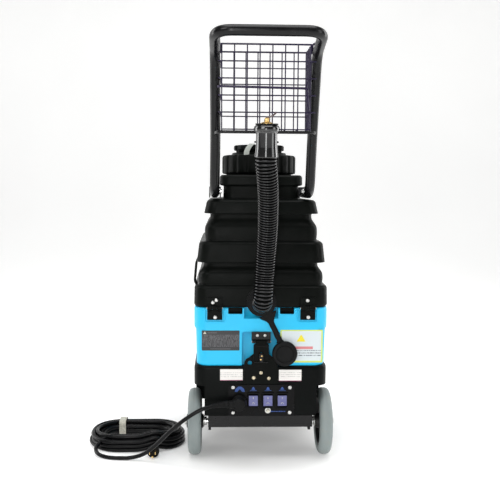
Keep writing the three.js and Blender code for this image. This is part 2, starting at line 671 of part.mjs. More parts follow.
// ---------------------------------------------------------------- recovery tank
function recoveryTank() {
  const outer = loft([
    [RIM_BOTTOM, 143.5, REAR + 2, FRONT - 2, 26],
    [RIM_BOTTOM + 4, 146.4, REAR, FRONT, 28],
    [394, 145.6, REAR, FRONT, 28],
    [398, 143.5, REAR + 2, FRONT - 2, 26],
    [399.5, 134.5, REAR + 9, FRONT - 9, 26],
    [410, 136, REAR + 7, FRONT - 8, 28],
    [428, 136, REAR + 7, FRONT - 8, 28],
    [441, 127, REAR + 15, FRONT - 17, 24],
    [449, 125, REAR + 16, FRONT - 18, 24],
    [449.5, 140.5, REAR + 3, FRONT - 5, 28],
    [491, 135.5, REAR + 5, FRONT - 12, 28],
    [495, 132.5, REAR + 8, FRONT - 15, 26],
    [497, 121, REAR + 15, FRONT - 26, 26],
    [528, 121.5, REAR + 14, FRONT - 27, 28],
    [549, 113, REAR + 21, FRONT - 36, 24],
    [557.5, 111, REAR + 22, FRONT - 38, 24],
    [558, 124.5, REAR + 9, FRONT - 24, 28],
    [585, 118.5, REAR + 13, FRONT - 32, 28],
    [588, 116, REAR + 15, FRONT - 35, 26],
    [590.5, 88, REAR + 38, FRONT - 56, 24],
    [591, 84, REAR + 42, FRONT - 60, 22],
    [619, 84, REAR + 42, FRONT - 60, 22],
    [621, 93.5, REAR + 34, FRONT - 52, 22],
    [640, 93.5, REAR + 34, FRONT - 52, 22],
    [DECK_TOP, 90, REAR + 38, FRONT - 56, 20],
  ]);
  const cavity = loft([
    [RIM_BOTTOM + 5, 126, REAR + 12, FRONT - 14, 22],
    [400, 126, REAR + 14, FRONT - 16, 22],
    [440, 119, REAR + 21, FRONT - 24, 20],
    [548, 105, REAR + 28, FRONT - 44, 20],
    [584, 104, REAR + 28, FRONT - 46, 20],
    [586, 78, REAR + 48, FRONT - 66, 18],
    [638, 78, REAR + 48, FRONT - 66, 18],
  ]);
  const neck = bar("z", NECK_R, [0, NECK_Y, DECK_TOP - 3], 38, 32);
  const mouth = bar("z", NECK_R - 5, [0, NECK_Y, DECK_TOP - 10], 60, 32);
  const ducts = [
    bar("z", 20.4, [0, PIPE_Y, RIM_BOTTOM - 5], 20, 20),
    bar("y", 21.4, [0, FRONT - 60, 520], 80, 24),
    bar("y", 16, [0, REAR - 5, PORT_Z], 40, 24),
  ];
  return cut(join(cut(outer, cavity), neck), mouth, ...ducts);
}
add("recovery_tank", recoveryTank(), BLACK_MOULDED);

add("vacuum_standpipe", cut(
  join(bar("z", 20, [0, PIPE_Y, RIM_BOTTOM + 1], 250, 20), bar("z", 27, [0, PIPE_Y, 516], 4, 20)),
  bar("z", 16.5, [0, PIPE_Y, RIM_BOTTOM - 5], 300, 20),
), STEEL);
add("shutoff_float", turnedRing([[20.6, 520.5], [30, 520.5], [30, 558.5], [20.6, 558.5]], 20)
  .translate(0, PIPE_Y, 0), BLACK_MOULDED);
add("vacuum_inlet", cut(
  join(bar("y", 21, [0, 262, 520], 40, 18), bar("y", 22.6, [0, FRONT - 25.6, 520], 5, 18)),
  bar("y", 17.5, [0, 250, 520], 100, 18),
), BLACK_MOULDED);

// ---------------------------------------------------------------- lid
// A fluted outline: shallow round grooves between flats.
function fluted(radius, depth, count) {
  const shape = new THREE.Shape();
  for (let i = 0; i < count; i++) {
    for (const [share, r] of [[0.12, radius], [0.62, radius], [0.75, radius - depth], [0.99, radius - depth]]) {
      const a = ((i + share) / count) * Math.PI * 2;
      if (i === 0 && share === 0.12) shape.moveTo(r * Math.cos(a), r * Math.sin(a));
      else shape.lineTo(r * Math.cos(a), r * Math.sin(a));
    }
  }
  return shape;
}

function upright(shape, z0, z1) {
  return new THREE.ExtrudeGeometry(shape, { depth: z1 - z0, bevelEnabled: false }).translate(0, NECK_Y, z0);
}

const LID_BOTTOM = 647;
const LID_TOP = 692;
add("lid_collar", cut(
  join(upright(fluted(LID_R, 2.5, 18), LID_BOTTOM, LID_TOP - 2),
    bar("z", 83, [0, NECK_Y, LID_TOP - 3], 3, 40),
    bar("z", 54, [0, NECK_Y, LID_TOP - 3], 9, 32)),
  bar("z", NECK_R + 1, [0, NECK_Y, LID_BOTTOM - 5], 38.5, 40),
  bar("z", 48, [0, NECK_Y, LID_BOTTOM], 80, 32),
), BLACK_MOULDED);
add("filler_cap", cut(
  upright(fluted(FILLER_R, 2.2, 16), LID_TOP + 2, 716),
  bar("z", 54.5, [0, NECK_Y, LID_TOP - 3], 10, 32),
), BLACK_MOULDED);

// ---------------------------------------------------------------- handle
function handleRoute() {
  const half = (side) => [
    [side * HANDLE_HALF, 60, LEDGE_TUBE_Z, 0],
    [side * HANDLE_HALF, -88, LEDGE_TUBE_Z, 36],
    [side * HANDLE_MID_HALF, -142, 719, 30],
    [side * HANDLE_TOP_HALF, -204, 885, 28],
    [side * HANDLE_TOP_HALF, RAIL_Y, RAIL_Z, 34],
  ];
  return roundedRoute([...half(-1), ...half(1).reverse()]);
}

add("handle_frame", tube(handleRoute(), TUBE_R, 8, 56), BLACK_PAINT);
for (const [name, side] of SIDES) {
  const x = side * HANDLE_HALF;
  const seat = TUBE_R + GAP;
  const strap = box(x - seat - 2.6, x + seat + 2.6, 14, 40, 591.8, LEDGE_TUBE_Z + seat + 3.2);
  const slot = box(x - seat, x + seat, 10, 44, 590, LEDGE_TUBE_Z);
  add("handle_saddle_" + name, cut(strap, slot, bar("y", seat, [x, 0, LEDGE_TUBE_Z], 60, 24)), BLACK_PAINT);
}

// ---------------------------------------------------------------- wire basket
function spread(from, step, count) {
  return Array.from({ length: count + 1 }, (_, i) => from + i * step);
}

// A wire as a square rod between two points that differ along one axis only.
function wire(from, to) {
  const w = WIRE / 2;
  const low = from.map((v, i) => Math.min(v, to[i]) - w);
  const high = from.map((v, i) => Math.max(v, to[i]) + w);
  return box(low[0], high[0], low[1], high[1], low[2], high[2]);
}

const rows = spread(BASKET_BOTTOM, ROW, 5);
const columns = spread(-3.5 * COLUMN, COLUMN, 7);
const files = spread(BASKET_REAR, (BASKET_FRONT - BASKET_REAR) / 4, 4);
const RIM_Z = rows.at(-1);
// Each wall stops just short of the next, so that the five panels stay separate pieces.
const SHORT = WIRE + GAP;
const SIDE_X = columns.at(-1);

// The long wall at one depth; the rear one carries its wires on to the posts.
function longWall(y, reach, low = BASKET_BOTTOM) {
  return join(
    ...columns.map((x) => wire([x, y, low], [x, y, RIM_Z])),
    ...rows.map((z) => wire([-reach, y, z], [reach, y, z])),
  );
}

function endWall(side) {
  const x = side * SIDE_X;
  const [y0, y1] = [BASKET_REAR + SHORT, BASKET_FRONT - SHORT];
  return join(
    ...[y0, ...files.slice(1, -1), y1].map((y) => wire([x, y, BASKET_BOTTOM], [x, y, RIM_Z])),
    ...rows.map((z) => wire([x, y0, z], [x, y1, z])),
  );
}

function floorWires() {
  const [x0, x1] = [-SIDE_X + SHORT, SIDE_X - SHORT];
  const [y0, y1] = [BASKET_REAR + SHORT, BASKET_FRONT - SHORT];
  const z = BASKET_BOTTOM;
  return [
    ...[x0, ...columns.slice(1, -1), x1].map((x) => wire([x, y0, z], [x, y1, z])),
    ...[y0, ...files.slice(1, -1), y1].map((y) => wire([x0, y, z], [x1, y, z])),
  ];
}
const toolRod = tube(roundedRoute([
  [-90, BASKET_REAR - 3.4, 814, 0], [82, BASKET_REAR - 3.4, 812, 8], [84.5, BASKET_REAR - 3.4, 770, 0],
]), 2.4, 8, 12);
const BAR_Z = BASKET_BOTTOM - 5.4;
const bottomBar = bar("x", 3.2, [-98, BASKET_REAR, BAR_Z], 196, 12);

add("basket_rear", join(longWall(BASKET_REAR, 4 * COLUMN - 3, BAR_Z), toolRod, bottomBar), BLACK_PAINT);
add("basket_front", longWall(BASKET_FRONT, SIDE_X), BLACK_PAINT);
add("basket_floor", join(...floorWires()), BLACK_PAINT);
for (const [name, side] of SIDES) add("basket_" + name, endWall(side), BLACK_PAINT);

// ---------------------------------------------------------------- drain port, hose and plug
add("drain_port", cut(
  join(bar("y", 33, [0, REAR - 10.4, PORT_Z], 10, 32), bar("y", 15.6, [0, REAR - 2, PORT_Z], 20, 24)),
  bar("y", 12, [0, REAR - 6, PORT_Z], 40, 20),
), BLACK_MOULDED);

const HOSE_Y = -146; // the foot of the hose
add("drain_elbow", tube(roundedRoute([
  [0, REAR - 10.8, PORT_Z, 0], [0, HOSE_Y, PORT_Z, 30], [2, HOSE_Y, 400, 0],
]), HOSE_R + 0.6, 12, 12), BLACK_RUBBER);

const cuffAxis = new THREE.Vector3(0, -Math.sin(CUFF_TILT), Math.cos(CUFF_TILT));
const cuffFoot = new THREE.Vector3(...CUFF_BOTTOM);
const alongCuff = (h) => cuffFoot.clone().addScaledVector(cuffAxis, h).toArray();
add("drain_hose", tube(through([
  [2, HOSE_Y, 401], [3.6, HOSE_Y, 430], [6, -155, 480], [7.5, -172, 530], [6.5, -195, 590], [3, -224, 640],
  alongCuff(-12), alongCuff(-GAP),
]), HOSE_R, 12, 26), BLACK_RUBBER);

// Pieces on the cuff's axis are turned about Z at the origin, then tilted and set on the hose's end.
function onCuff(geometry) {
  return geometry.rotateX(CUFF_TILT).translate(...CUFF_BOTTOM);
}
const CUFF_LENGTH = 64;
add("drain_cuff", onCuff(turnedRing([
  [19.2, 8], [19.2, CUFF_LENGTH], [25.8, CUFF_LENGTH], [25.8, CUFF_LENGTH - 6], [22, CUFF_LENGTH - 12],
  [21.4, 14], [23, 8], [23, 0], [8, 0], [8, 8],
], 20)), BLACK_RUBBER);
add("hose_clip", (() => {
  const band = cut(bar("z", 25.4, [0, 0, 26], 14, 32), bar("z", 22.6, [0, 0, 20], 30, 32),
    box(-40, 40, -40, 3, 20, 45));
  return band.rotate([THREE.MathUtils.radToDeg(CUFF_TILT), 0, 0]).translate(CUFF_BOTTOM);
})(), STEEL);
add("drain_bung", onCuff(turnedRing([
  [4.2, CUFF_LENGTH - 24], [18.8, CUFF_LENGTH - 24], [18.8, CUFF_LENGTH + 0.4], [23, CUFF_LENGTH + 0.4],
  [23, CUFF_LENGTH + 2.6], [4.2, CUFF_LENGTH + 2.6],
], 24)), BLACK_RUBBER);
const STEM_TOP = CUFF_LENGTH + 11;
add("bung_stem", onCuff(turned([
  [0, CUFF_LENGTH - 26], [3.8, CUFF_LENGTH - 26], [3.8, CUFF_LENGTH + 3], [9, CUFF_LENGTH + 3],
  [9, CUFF_LENGTH + 5], [4.5, CUFF_LENGTH + 6], [4.5, STEM_TOP - 3.4], [0, STEM_TOP - 3.4],
], 16)), BRASS);
add("bung_lever", onCuff(
  new THREE.BoxGeometry(26, 6, 3).translate(10, 0, 0).rotateY(-0.45).translate(0, 0, STEM_TOP),
), DARK_RED);

export default extractor;
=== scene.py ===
# Looks of the upright spot extractor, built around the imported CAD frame. Lengths are millimetres and S turns
# them into metres. -Y is the operator's side, with the handle and switches; +X is the operator's right.
import math

import bmesh
import bpy
from mathutils import Matrix, Vector, noise


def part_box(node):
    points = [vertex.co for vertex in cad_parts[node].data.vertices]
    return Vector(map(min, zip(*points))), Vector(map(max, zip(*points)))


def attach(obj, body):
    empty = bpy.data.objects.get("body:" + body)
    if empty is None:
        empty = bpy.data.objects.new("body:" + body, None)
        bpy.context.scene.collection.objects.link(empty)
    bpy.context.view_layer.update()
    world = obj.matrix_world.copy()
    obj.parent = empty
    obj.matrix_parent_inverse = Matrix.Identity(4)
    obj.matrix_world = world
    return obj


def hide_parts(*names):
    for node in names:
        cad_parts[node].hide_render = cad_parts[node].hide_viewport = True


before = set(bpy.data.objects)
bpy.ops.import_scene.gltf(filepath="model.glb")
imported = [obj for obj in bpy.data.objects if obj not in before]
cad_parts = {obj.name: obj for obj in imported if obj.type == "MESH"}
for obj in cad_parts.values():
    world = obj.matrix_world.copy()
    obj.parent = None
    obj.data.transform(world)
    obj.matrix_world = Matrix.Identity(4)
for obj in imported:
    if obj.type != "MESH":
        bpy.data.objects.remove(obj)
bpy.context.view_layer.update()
S = 0.001
TIP = 0.02  # where a turned profile meets its axis, so that no face there has zero area


# ------------------------------------------------------------------ places taken from the frame
def node_box(name):
    """The low and high corner of a CAD node, in millimetres."""
    low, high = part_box(name)
    return Vector(low) / S, Vector(high) / S


def middle(name):
    """The middle of a CAD node's box, in millimetres."""
    low, high = node_box(name)
    return (low + high) / 2


BASE_LOW, BASE_HIGH = node_box("base_housing")
BLUE_LOW, BLUE_HIGH = node_box("solution_tank")
REAR = BASE_LOW.y
FRONT = BASE_HIGH.y
PANEL_LOW, PANEL_HIGH = node_box("switch_panel")
HANDLE_LOW, HANDLE_HIGH = node_box("handle_frame")
BASKET_LOW, BASKET_HIGH = node_box("basket_rear")
WHEEL = middle("tyre_right")
WHEEL_R = WHEEL.z
SIDES = (("left", -1), ("right", 1))


# ------------------------------------------------------------------ camera
CAMERA_PLACE = (-88, -1803, 617.5)
CAMERA_LENS = 56.16
CAMERA_YAW, CAMERA_PITCH, CAMERA_ROLL = -2.072, 85.361, 0.367  # degrees


def add_camera():
    """The photograph's viewpoint: on the operator's side, a little to the left, above the tank."""
    data = bpy.data.cameras.new("camera")
    data.lens = CAMERA_LENS
    camera = bpy.data.objects.new("camera", data)
    bpy.context.scene.collection.objects.link(camera)
    yaw, pitch, roll = (math.radians(a) for a in (CAMERA_YAW, CAMERA_PITCH, CAMERA_ROLL))
    camera.location = Vector(CAMERA_PLACE) * S
    camera.rotation_euler = (Matrix.Rotation(yaw, 3, "Z") @ Matrix.Rotation(pitch, 3, "X")
                             @ Matrix.Rotation(roll, 3, "Z")).to_euler()
    bpy.context.scene.camera = camera


add_camera()


# ------------------------------------------------------------------ materials
class Shader:
    """A material's node tree with the few kinds of node that the finishes below use."""

    def __init__(self, name):
        self.material = bpy.data.materials.new(name)
        self.material.use_nodes = True
        self.tree = self.material.node_tree
        self.out = self.tree.nodes["Principled BSDF"]
        self.place = self.node("ShaderNodeTexCoord").outputs["Object"]

    def node(self, kind, **settings):
        made = self.tree.nodes.new(kind)
        for key, value in settings.items():
            setattr(made, key, value)
        return made

    def link(self, source, target):
        self.tree.links.new(source, target)

    def stretched(self, scale):
        mapping = self.node("ShaderNodeMapping")
        mapping.inputs["Scale"].default_value = scale
        self.link(self.place, mapping.inputs["Vector"])
        return mapping.outputs["Vector"]

    def noise(self, scale, detail=3.0, stretch=None):
        made = self.node("ShaderNodeTexNoise")
        made.inputs["Scale"].default_value = scale
        made.inputs["Detail"].default_value = detail
        self.link(self.stretched(stretch) if stretch else self.place, made.inputs["Vector"])
        return made.outputs["Fac"]

    def spread(self, value, low, high, start=0.3, end=0.7):
        made = self.node("ShaderNodeMapRange")
        for key, number in (("From Min", start), ("From Max", end), ("To Min", low), ("To Max", high)):
            made.inputs[key].default_value = number
        self.link(value, made.inputs["Value"])
        return made.outputs["Result"]

    def mix(self, factor, a, b):
        made = self.node("ShaderNodeMix", data_type="RGBA")
        self.link(factor, made.inputs["Factor"])
        for socket, value in ((made.inputs[6], a), (made.inputs[7], b)):
            if isinstance(value, tuple):
                socket.default_value = (*value, 1.0)
            else:
                self.link(value, socket)
        return made.outputs[2]

    def bump(self, height, strength, distance, under=None):
        made = self.node("ShaderNodeBump")
        made.inputs["Strength"].default_value = strength
        made.inputs["Distance"].default_value = distance
        self.link(height, made.inputs["Height"])
        if under is not None:
            self.link(under, made.inputs["Normal"])
        return made.outputs["Normal"]


def finish(name, color, rough, metal=0.0, vary=0.25, patch=9.0, grain=900.0, depth=0.00012,
           rough_spread=0.12, coat=0.0, dust=None, stretch=None, specular=0.5):
    """A plain finish: the colour drifts in patches, the gloss varies, and a fine grain lies over it."""
    made = Shader(name)
    out = made.out
    dark = tuple(c * (1 - vary) for c in color)
    light = tuple(min(1.0, c * (1 + vary)) for c in color)
    tint = made.mix(made.spread(made.noise(patch, 4.0), 0.0, 1.0), dark, light)
    if dust:
        tint = made.mix(made.spread(made.noise(38.0, 6.0), 0.0, 0.22, 0.5, 0.75), tint, dust)
    made.link(tint, out.inputs["Base Color"])
    wander = made.spread(made.noise(patch * 4, 5.0), rough - rough_spread / 2, rough + rough_spread / 2)
    made.link(wander, out.inputs["Roughness"])
    out.inputs["Metallic"].default_value = metal
    out.inputs["Coat Weight"].default_value = coat
    out.inputs["Specular IOR Level"].default_value = specular
    fine = made.bump(made.noise(grain, 2.0, stretch), 0.5, depth)
    broad = made.bump(made.noise(26.0, 2.0), 0.25, 0.0012, fine)
    made.link(broad, out.inputs["Normal"])
    return made.material


FINISHES = {
    "black_moulded": dict(color=(0.0032, 0.004, 0.0034), rough=0.36, grain=1400.0, specular=0.055,
                          dust=(0.008, 0.0075, 0.0065)),
    "black_base": dict(color=(0.003, 0.0038, 0.0036), rough=0.34, grain=1100.0, specular=0.06),
    "blue_moulded": dict(color=(0.016, 0.48, 0.79), rough=0.38, vary=0.05, patch=5.0, grain=700.0,
                         rough_spread=0.08, specular=0.35),
    "black_paint": dict(color=(0.004, 0.004, 0.0045), rough=0.24, grain=1900.0, depth=0.00005, coat=0.06,
                        specular=0.22),
    "basket_paint": dict(color=(0.011, 0.006, 0.03), rough=0.28, grain=1500.0, depth=0.00005, coat=0.1,
                         specular=0.3),
    "black_rubber": dict(color=(0.0042, 0.0044, 0.0046), rough=0.5, grain=800.0, depth=0.0001, specular=0.12),
    "hose_black": dict(color=(0.004, 0.0042, 0.0044), rough=0.22, grain=500.0, depth=0.00001, specular=0.4,
                       rough_spread=0.04),
    # painted shade for the valleys between the hose's ribs: darker and without shine
    "hose_valley_shade": dict(color=(0.0015, 0.0016, 0.0016), rough=0.9, grain=500.0, specular=0.02),
    "cuff_black": dict(color=(0.004, 0.0042, 0.0044), rough=0.17, grain=500.0, depth=0.00002, coat=0.8,
                       rough_spread=0.06),
    "cord_black": dict(color=(0.004, 0.004, 0.0045), rough=0.3, grain=600.0, depth=0.00004, coat=0.04,
                       specular=0.13),
    "tyre_grey": dict(color=(0.215, 0.25, 0.248), rough=0.5, vary=0.07, grain=420.0, depth=0.0002,
                      dust=(0.30, 0.27, 0.20)),
    "hub_black": dict(color=(0.008, 0.008, 0.0085), rough=0.45, specular=0.3),
    "chrome": dict(color=(0.62, 0.62, 0.61), rough=0.2, metal=1.0, vary=0.06, grain=900.0, depth=0.00003),
    "zinc": dict(color=(0.62, 0.62, 0.60), rough=0.34, metal=1.0, vary=0.12, grain=400.0, depth=0.00004,
                 stretch=(1, 1, 14)),
    "brass": dict(color=(0.72, 0.50, 0.20), rough=0.27, metal=1.0, vary=0.15, grain=700.0, depth=0.00004),
    "pale_brass": dict(color=(0.62, 0.55, 0.40), rough=0.3, metal=1.0, vary=0.15, grain=700.0, depth=0.00004),
    "panel_black": dict(color=(0.003, 0.003, 0.0034), rough=0.24, grain=2100.0, depth=0.00005, specular=0.1),
    "icon_blue": dict(color=(0.006, 0.05, 0.24), rough=0.4, vary=0.15, patch=160.0),
    "label_lime": dict(color=(0.55, 0.66, 0.12), rough=0.4, vary=0.06, patch=60.0, depth=0.00003),
    "label_yellow": dict(color=(0.78, 0.66, 0.02), rough=0.4, vary=0.08, patch=90.0, depth=0.00003),
    "label_magenta": dict(color=(0.35, 0.04, 0.14), rough=0.4, vary=0.2, patch=150.0, depth=0.00003),
    "switch_blue": dict(color=(0.12, 0.125, 0.29), rough=0.3, vary=0.12, patch=260.0, grain=1600.0, coat=0.2),
    "lever_red": dict(color=(0.035, 0.006, 0.005), rough=0.35, vary=0.3, coat=0.2),
    "strap_grey": dict(color=(0.34, 0.36, 0.33), rough=0.5),
    "floor": dict(color=(0.76, 0.76, 0.75), rough=0.62, vary=0.03, patch=1.3, grain=90.0, depth=0.00005),
    "tag_pale": dict(color=(0.52, 0.5, 0.42), rough=0.5, vary=0.25, patch=220.0),
}
MATERIALS = {name: finish(name, **look) for name, look in FINISHES.items()}


def label_finish(name, ground, ink, pitch, low, high):
    """A printed label: rows of ink between two heights, broken up like small print, with no letters."""
    made = Shader(name)
    split = made.node("ShaderNodeSeparateXYZ")
    made.link(made.place, split.inputs["Vector"])
    wave = made.node("ShaderNodeMath", operation="SINE")
    rows = made.node("ShaderNodeMath", operation="MULTIPLY")
    rows.inputs[1].default_value = 2 * math.pi / (pitch * S)
    made.link(split.outputs["Z"], rows.inputs[0])
    made.link(rows.outputs["Value"], wave.inputs[0])
    lines = made.spread(wave.outputs["Value"], 0.0, 1.0, 0.25, 0.45)
    words = made.spread(made.noise(700.0, 1.0, (1, 1, 0.2)), 0.0, 1.0, 0.42, 0.5)
    above = made.spread(split.outputs["Z"], 0.0, 1.0, low * S, low * S + 0.0001)
    below = made.spread(split.outputs["Z"], 1.0, 0.0, high * S, high * S + 0.0001)
    amount = lines
    for part in (words, above, below):
        both = made.node("ShaderNodeMath", operation="MULTIPLY")
        made.link(amount, both.inputs[0])
        made.link(part, both.inputs[1])
        amount = both.outputs["Value"]
    made.link(made.mix(amount, ground, ink), made.out.inputs["Base Color"])
    made.link(made.spread(made.noise(60.0), 0.28, 0.42), made.out.inputs["Roughness"])
    return made.material


# ground, ink, pitch of the rows, and the heights that they lie between
LABELS = {
    "label_dark": ((0.010, 0.010, 0.012), (0.15, 0.15, 0.165), 2.5, 261, 289.5),
    "label_dark_title": ((0.05, 0.05, 0.055), (0.7, 0.7, 0.72), 30, 200, 300),
    "label_light": ((0.60, 0.66, 0.68), (0.10, 0.12, 0.14), 5.6, 239, 254),
    "label_red_title": ((0.60, 0.20, 0.21), (0.50, 0.015, 0.02), 30, 200, 300),
    "label_plate": ((0.76, 0.74, 0.71), (0.5, 0.49, 0.48), 4.4, 192, 206),
}
MATERIALS |= {name: label_finish(name, *look) for name, look in LABELS.items()}


# ------------------------------------------------------------------ builders
def smoothstep(a, b, t):
    """0 up to a, 1 from b on, and an S between them."""
    t = min(max((t - a) / (b - a), 0), 1)
    return t * t * (3 - 2 * t)


def place(obj, body):
    """Gives a piece the body that it rides on."""
    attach(obj, body)
    return obj


def tube_faces(rows, count, closed=False):
    """Faces between rows of count points. A closed tube joins its two ends; the others are capped."""
    faces = []
    for k in range(rows if closed else rows - 1):
        near, far = k * count, (k + 1) % rows * count
        for i in range(count):
            j = (i + 1) % count
            faces.append((near + i, near + j, far + j, far + i))
    if not closed:
        faces.append(tuple(range(count - 1, -1, -1)))
        faces.append(tuple((rows - 1) * count + i for i in range(count)))
    return faces


def prism_faces(count):
    """Faces of a prism between two outlines of count points."""
    faces = [tuple(range(count)), tuple(range(2 * count - 1, count - 1, -1))]
    faces += [(i, (i + 1) % count, count + (i + 1) % count, count + i) for i in range(count)]
    return faces


def from_data(name, verts, faces, material, smooth=True):
    """A mesh object from millimetre points, with its faces turned outwards."""
    data = bpy.data.meshes.new(name)
    data.from_pydata([Vector(v) * S for v in verts], [], faces)
    bm = bmesh.new()
    bm.from_mesh(data)
    bmesh.ops.remove_doubles(bm, verts=bm.verts, dist=1e-7)
    bmesh.ops.recalc_face_normals(bm, faces=bm.faces)
    bm.to_mesh(data)
    bm.free()
    for face in data.polygons:
        face.use_smooth = smooth
    obj = bpy.data.objects.new(name, data)
    bpy.context.scene.collection.objects.link(obj)
    data.materials.append(MATERIALS[material])
    return obj


def apply_modifiers(obj):
    """Turns the object's modifiers into its own mesh."""
    graph = bpy.context.evaluated_depsgraph_get()
    graph.update()
    baked = bpy.data.meshes.new_from_object(obj.evaluated_get(graph))
    obj.modifiers.clear()
    obj.data = baked


def bevelled(obj, width, segments=2, angle=32):
    """Rounds the edges sharper than the angle and shades the rest flat or smooth as it curves."""
    made = obj.modifiers.new("edges", "BEVEL")
    made.width = width * S
    made.segments = segments
    made.limit_method = "ANGLE"
    made.angle_limit = math.radians(angle)
    made.harden_normals = True
    made.use_clamp_overlap = True
    return obj


def carved(obj, *cutters):
    """The object with the cutters taken out of it."""
    for cutter in cutters:
        made = obj.modifiers.new("cut", "BOOLEAN")
        made.operation = "DIFFERENCE"
        made.solver = "EXACT"
        made.object = cutter
    apply_modifiers(obj)
    for cutter in cutters:
        bpy.data.objects.remove(cutter)
    return obj


def joined(name, *objects):
    """Several objects as one, with their materials kept."""
    for obj in objects:
        if obj.modifiers:
            apply_modifiers(obj)
    with bpy.context.temp_override(active_object=objects[0], selected_editable_objects=list(objects)):
        bpy.ops.object.join()
    objects[0].name = name
    objects[0].data.name = name
    return objects[0]


def block(name, x0, x1, y0, y1, z0, z1, material, edge=0.6, segments=2):
    """A rounded block between two corners."""
    verts = [(x, y, z) for z in (z0, z1) for x, y in ((x0, y0), (x1, y0), (x1, y1), (x0, y1))]
    faces = [(0, 3, 2, 1), (4, 5, 6, 7), (0, 1, 5, 4), (1, 2, 6, 5), (2, 3, 7, 6), (3, 0, 4, 7)]
    obj = from_data(name, verts, faces, material, smooth=False)
    return bevelled(obj, edge, segments) if edge else obj


def axis_frame(axis):
    """The rotation that takes +Z to the axis."""
    return Vector((0, 0, 1)).rotation_difference(Vector(axis).normalized()).to_matrix()


def turned(name, profile, origin, axis, material, segments=64, closed=False):
    """A turned piece: (radius, height) pairs about an axis from origin. Closed profiles make rings."""
    turn = axis_frame(axis)
    origin = Vector(origin)
    verts = []
    for radius, height in profile:
        for i in range(segments):
            a = 2 * math.pi * i / segments
            verts.append(origin + turn @ Vector((radius * math.cos(a), radius * math.sin(a), height)))
    return from_data(name, verts, tube_faces(len(profile), segments, closed), material)


def round_bar(name, radius, h0, h1, origin, axis, material, segments=40):
    """A plain round bar from h0 to h1 along the axis."""
    return turned(name, [(TIP, h0), (radius, h0), (radius, h1), (TIP, h1)], origin, axis, material, segments)


def rounded_profile(corners, radius, steps=4, closed=False):
    """The same corner points with each corner turned into a small arc, as (radius, height) pairs."""
    points = [Vector(c) for c in corners]
    count = len(points)
    made = []
    for i, here in enumerate(points):
        if not closed and i in (0, count - 1):
            made.append(tuple(here))
            continue
        before, after = points[i - 1], points[(i + 1) % count]
        reach = min(radius, (before - here).length * 0.45, (after - here).length * 0.45)
        start = here + (before - here).normalized() * reach
        end = here + (after - here).normalized() * reach
        for k in range(steps + 1):
            t = k / steps
            made.append(tuple(start * (1 - t) ** 2 + here * 2 * t * (1 - t) + end * t ** 2))
    return made


def rounded_turned(name, corners, origin, axis, material, edge=1.2, segments=64, closed=False):
    """A turned piece with its corners rounded."""
    return turned(name, rounded_profile(corners, edge, closed=closed), origin, axis, material, segments,
                  closed)


def route(corners, steps=10):
    """Straight runs between corner points (x, y, z, reach), with each corner rounded by its reach."""
    points = [Vector(corners[0][:3])]
    for i in range(1, len(corners) - 1):
        here = Vector(corners[i][:3])
        reach = corners[i][3]
        start = here + (Vector(corners[i - 1][:3]) - here).normalized() * reach
        end = here + (Vector(corners[i + 1][:3]) - here).normalized() * reach
        for k in range(steps + 1):
            t = k / steps
            points.append(start * (1 - t) ** 2 + here * 2 * t * (1 - t) + end * t ** 2)
    points.append(Vector(corners[-1][:3]))
    return points


def smooth_route(points, per_span=8):
    """A Catmull-Rom curve through given points."""
    p = [Vector(q) for q in points]
    p = [p[0] * 2 - p[1], *p, p[-1] * 2 - p[-2]]
    made = []
    for a, b, c, d in zip(p, p[1:], p[2:], p[3:]):
        for k in range(per_span):
            t = k / per_span
            made.append(0.5 * (2 * b + (c - a) * t + (2 * a - 5 * b + 4 * c - d) * t * t
                               + (3 * b - a - 3 * c + d) * t ** 3))
    made.append(p[-2])
    return made


def curve(name, lines, radius, material, resolution=6):
    """Round wire or tube along one or more lines of points."""
    data = bpy.data.curves.new(name, "CURVE")
    data.dimensions = "3D"
    data.bevel_depth = radius * S
    data.bevel_resolution = resolution
    data.use_fill_caps = True
    for line in lines:
        spline = data.splines.new("POLY")
        spline.points.add(len(line) - 1)
        for point, here in zip(spline.points, line):
            point.co = (*(Vector(here) * S), 1.0)
        spline.use_smooth = True
    obj = bpy.data.objects.new(name, data)
    bpy.context.scene.collection.objects.link(obj)
    data.materials.append(MATERIALS[material])
    return obj


def meshed(obj):
    """A curve's tube as a mesh object."""
    graph = bpy.context.evaluated_depsgraph_get()
    graph.update()
    data = bpy.data.meshes.new_from_object(obj.evaluated_get(graph))
    made = bpy.data.objects.new(obj.name, data)
    bpy.context.scene.collection.objects.link(made)
    bpy.data.objects.remove(obj)
    return made


def swept(name, line, radius_at, material, sides):
    """A tube whose radius is a function of the distance along its line."""
    points = [Vector(p) for p in line]
    verts = []
    along = 0.0
    up = Vector((1, 0, 0))
    for i, here in enumerate(points):
        ahead = points[min(i + 1, len(points) - 1)] - points[max(i - 1, 0)]
        if i:
            along += (here - points[i - 1]).length
        tangent = ahead.normalized()
        up = (up - tangent * up.dot(tangent)).normalized()
        side = tangent.cross(up)
        radius = radius_at(along)
        for k in range(sides):
            a = 2 * math.pi * k / sides
            verts.append(here + radius * (math.cos(a) * up + math.sin(a) * side))
    return from_data(name, verts, tube_faces(len(points), sides), material)


def resampled(line, step):
    """The same line with points a fixed distance apart."""
    made = [Vector(line[0])]
    for a, b in zip(line, line[1:]):
        a, b = Vector(a), Vector(b)
        while (b - made[-1]).length > step:
            made.append(made[-1] + (b - made[-1]).normalized() * step)
    made.append(Vector(line[-1]))
    return made


def rounded_level(z, half, y0, y1, r, steps=8):
    """The outline of a rounded rectangle lying flat at height z."""
    corners = ((half - r, y0 + r), (half - r, y1 - r), (r - half, y1 - r), (r - half, y0 + r))
    made = []
    for quarter, (x, y) in enumerate(corners):
        for i in range(steps + 1):
            a = (quarter - 1 + i / steps) * math.pi / 2
            made.append((x + r * math.cos(a), y + r * math.sin(a), z))
    return made


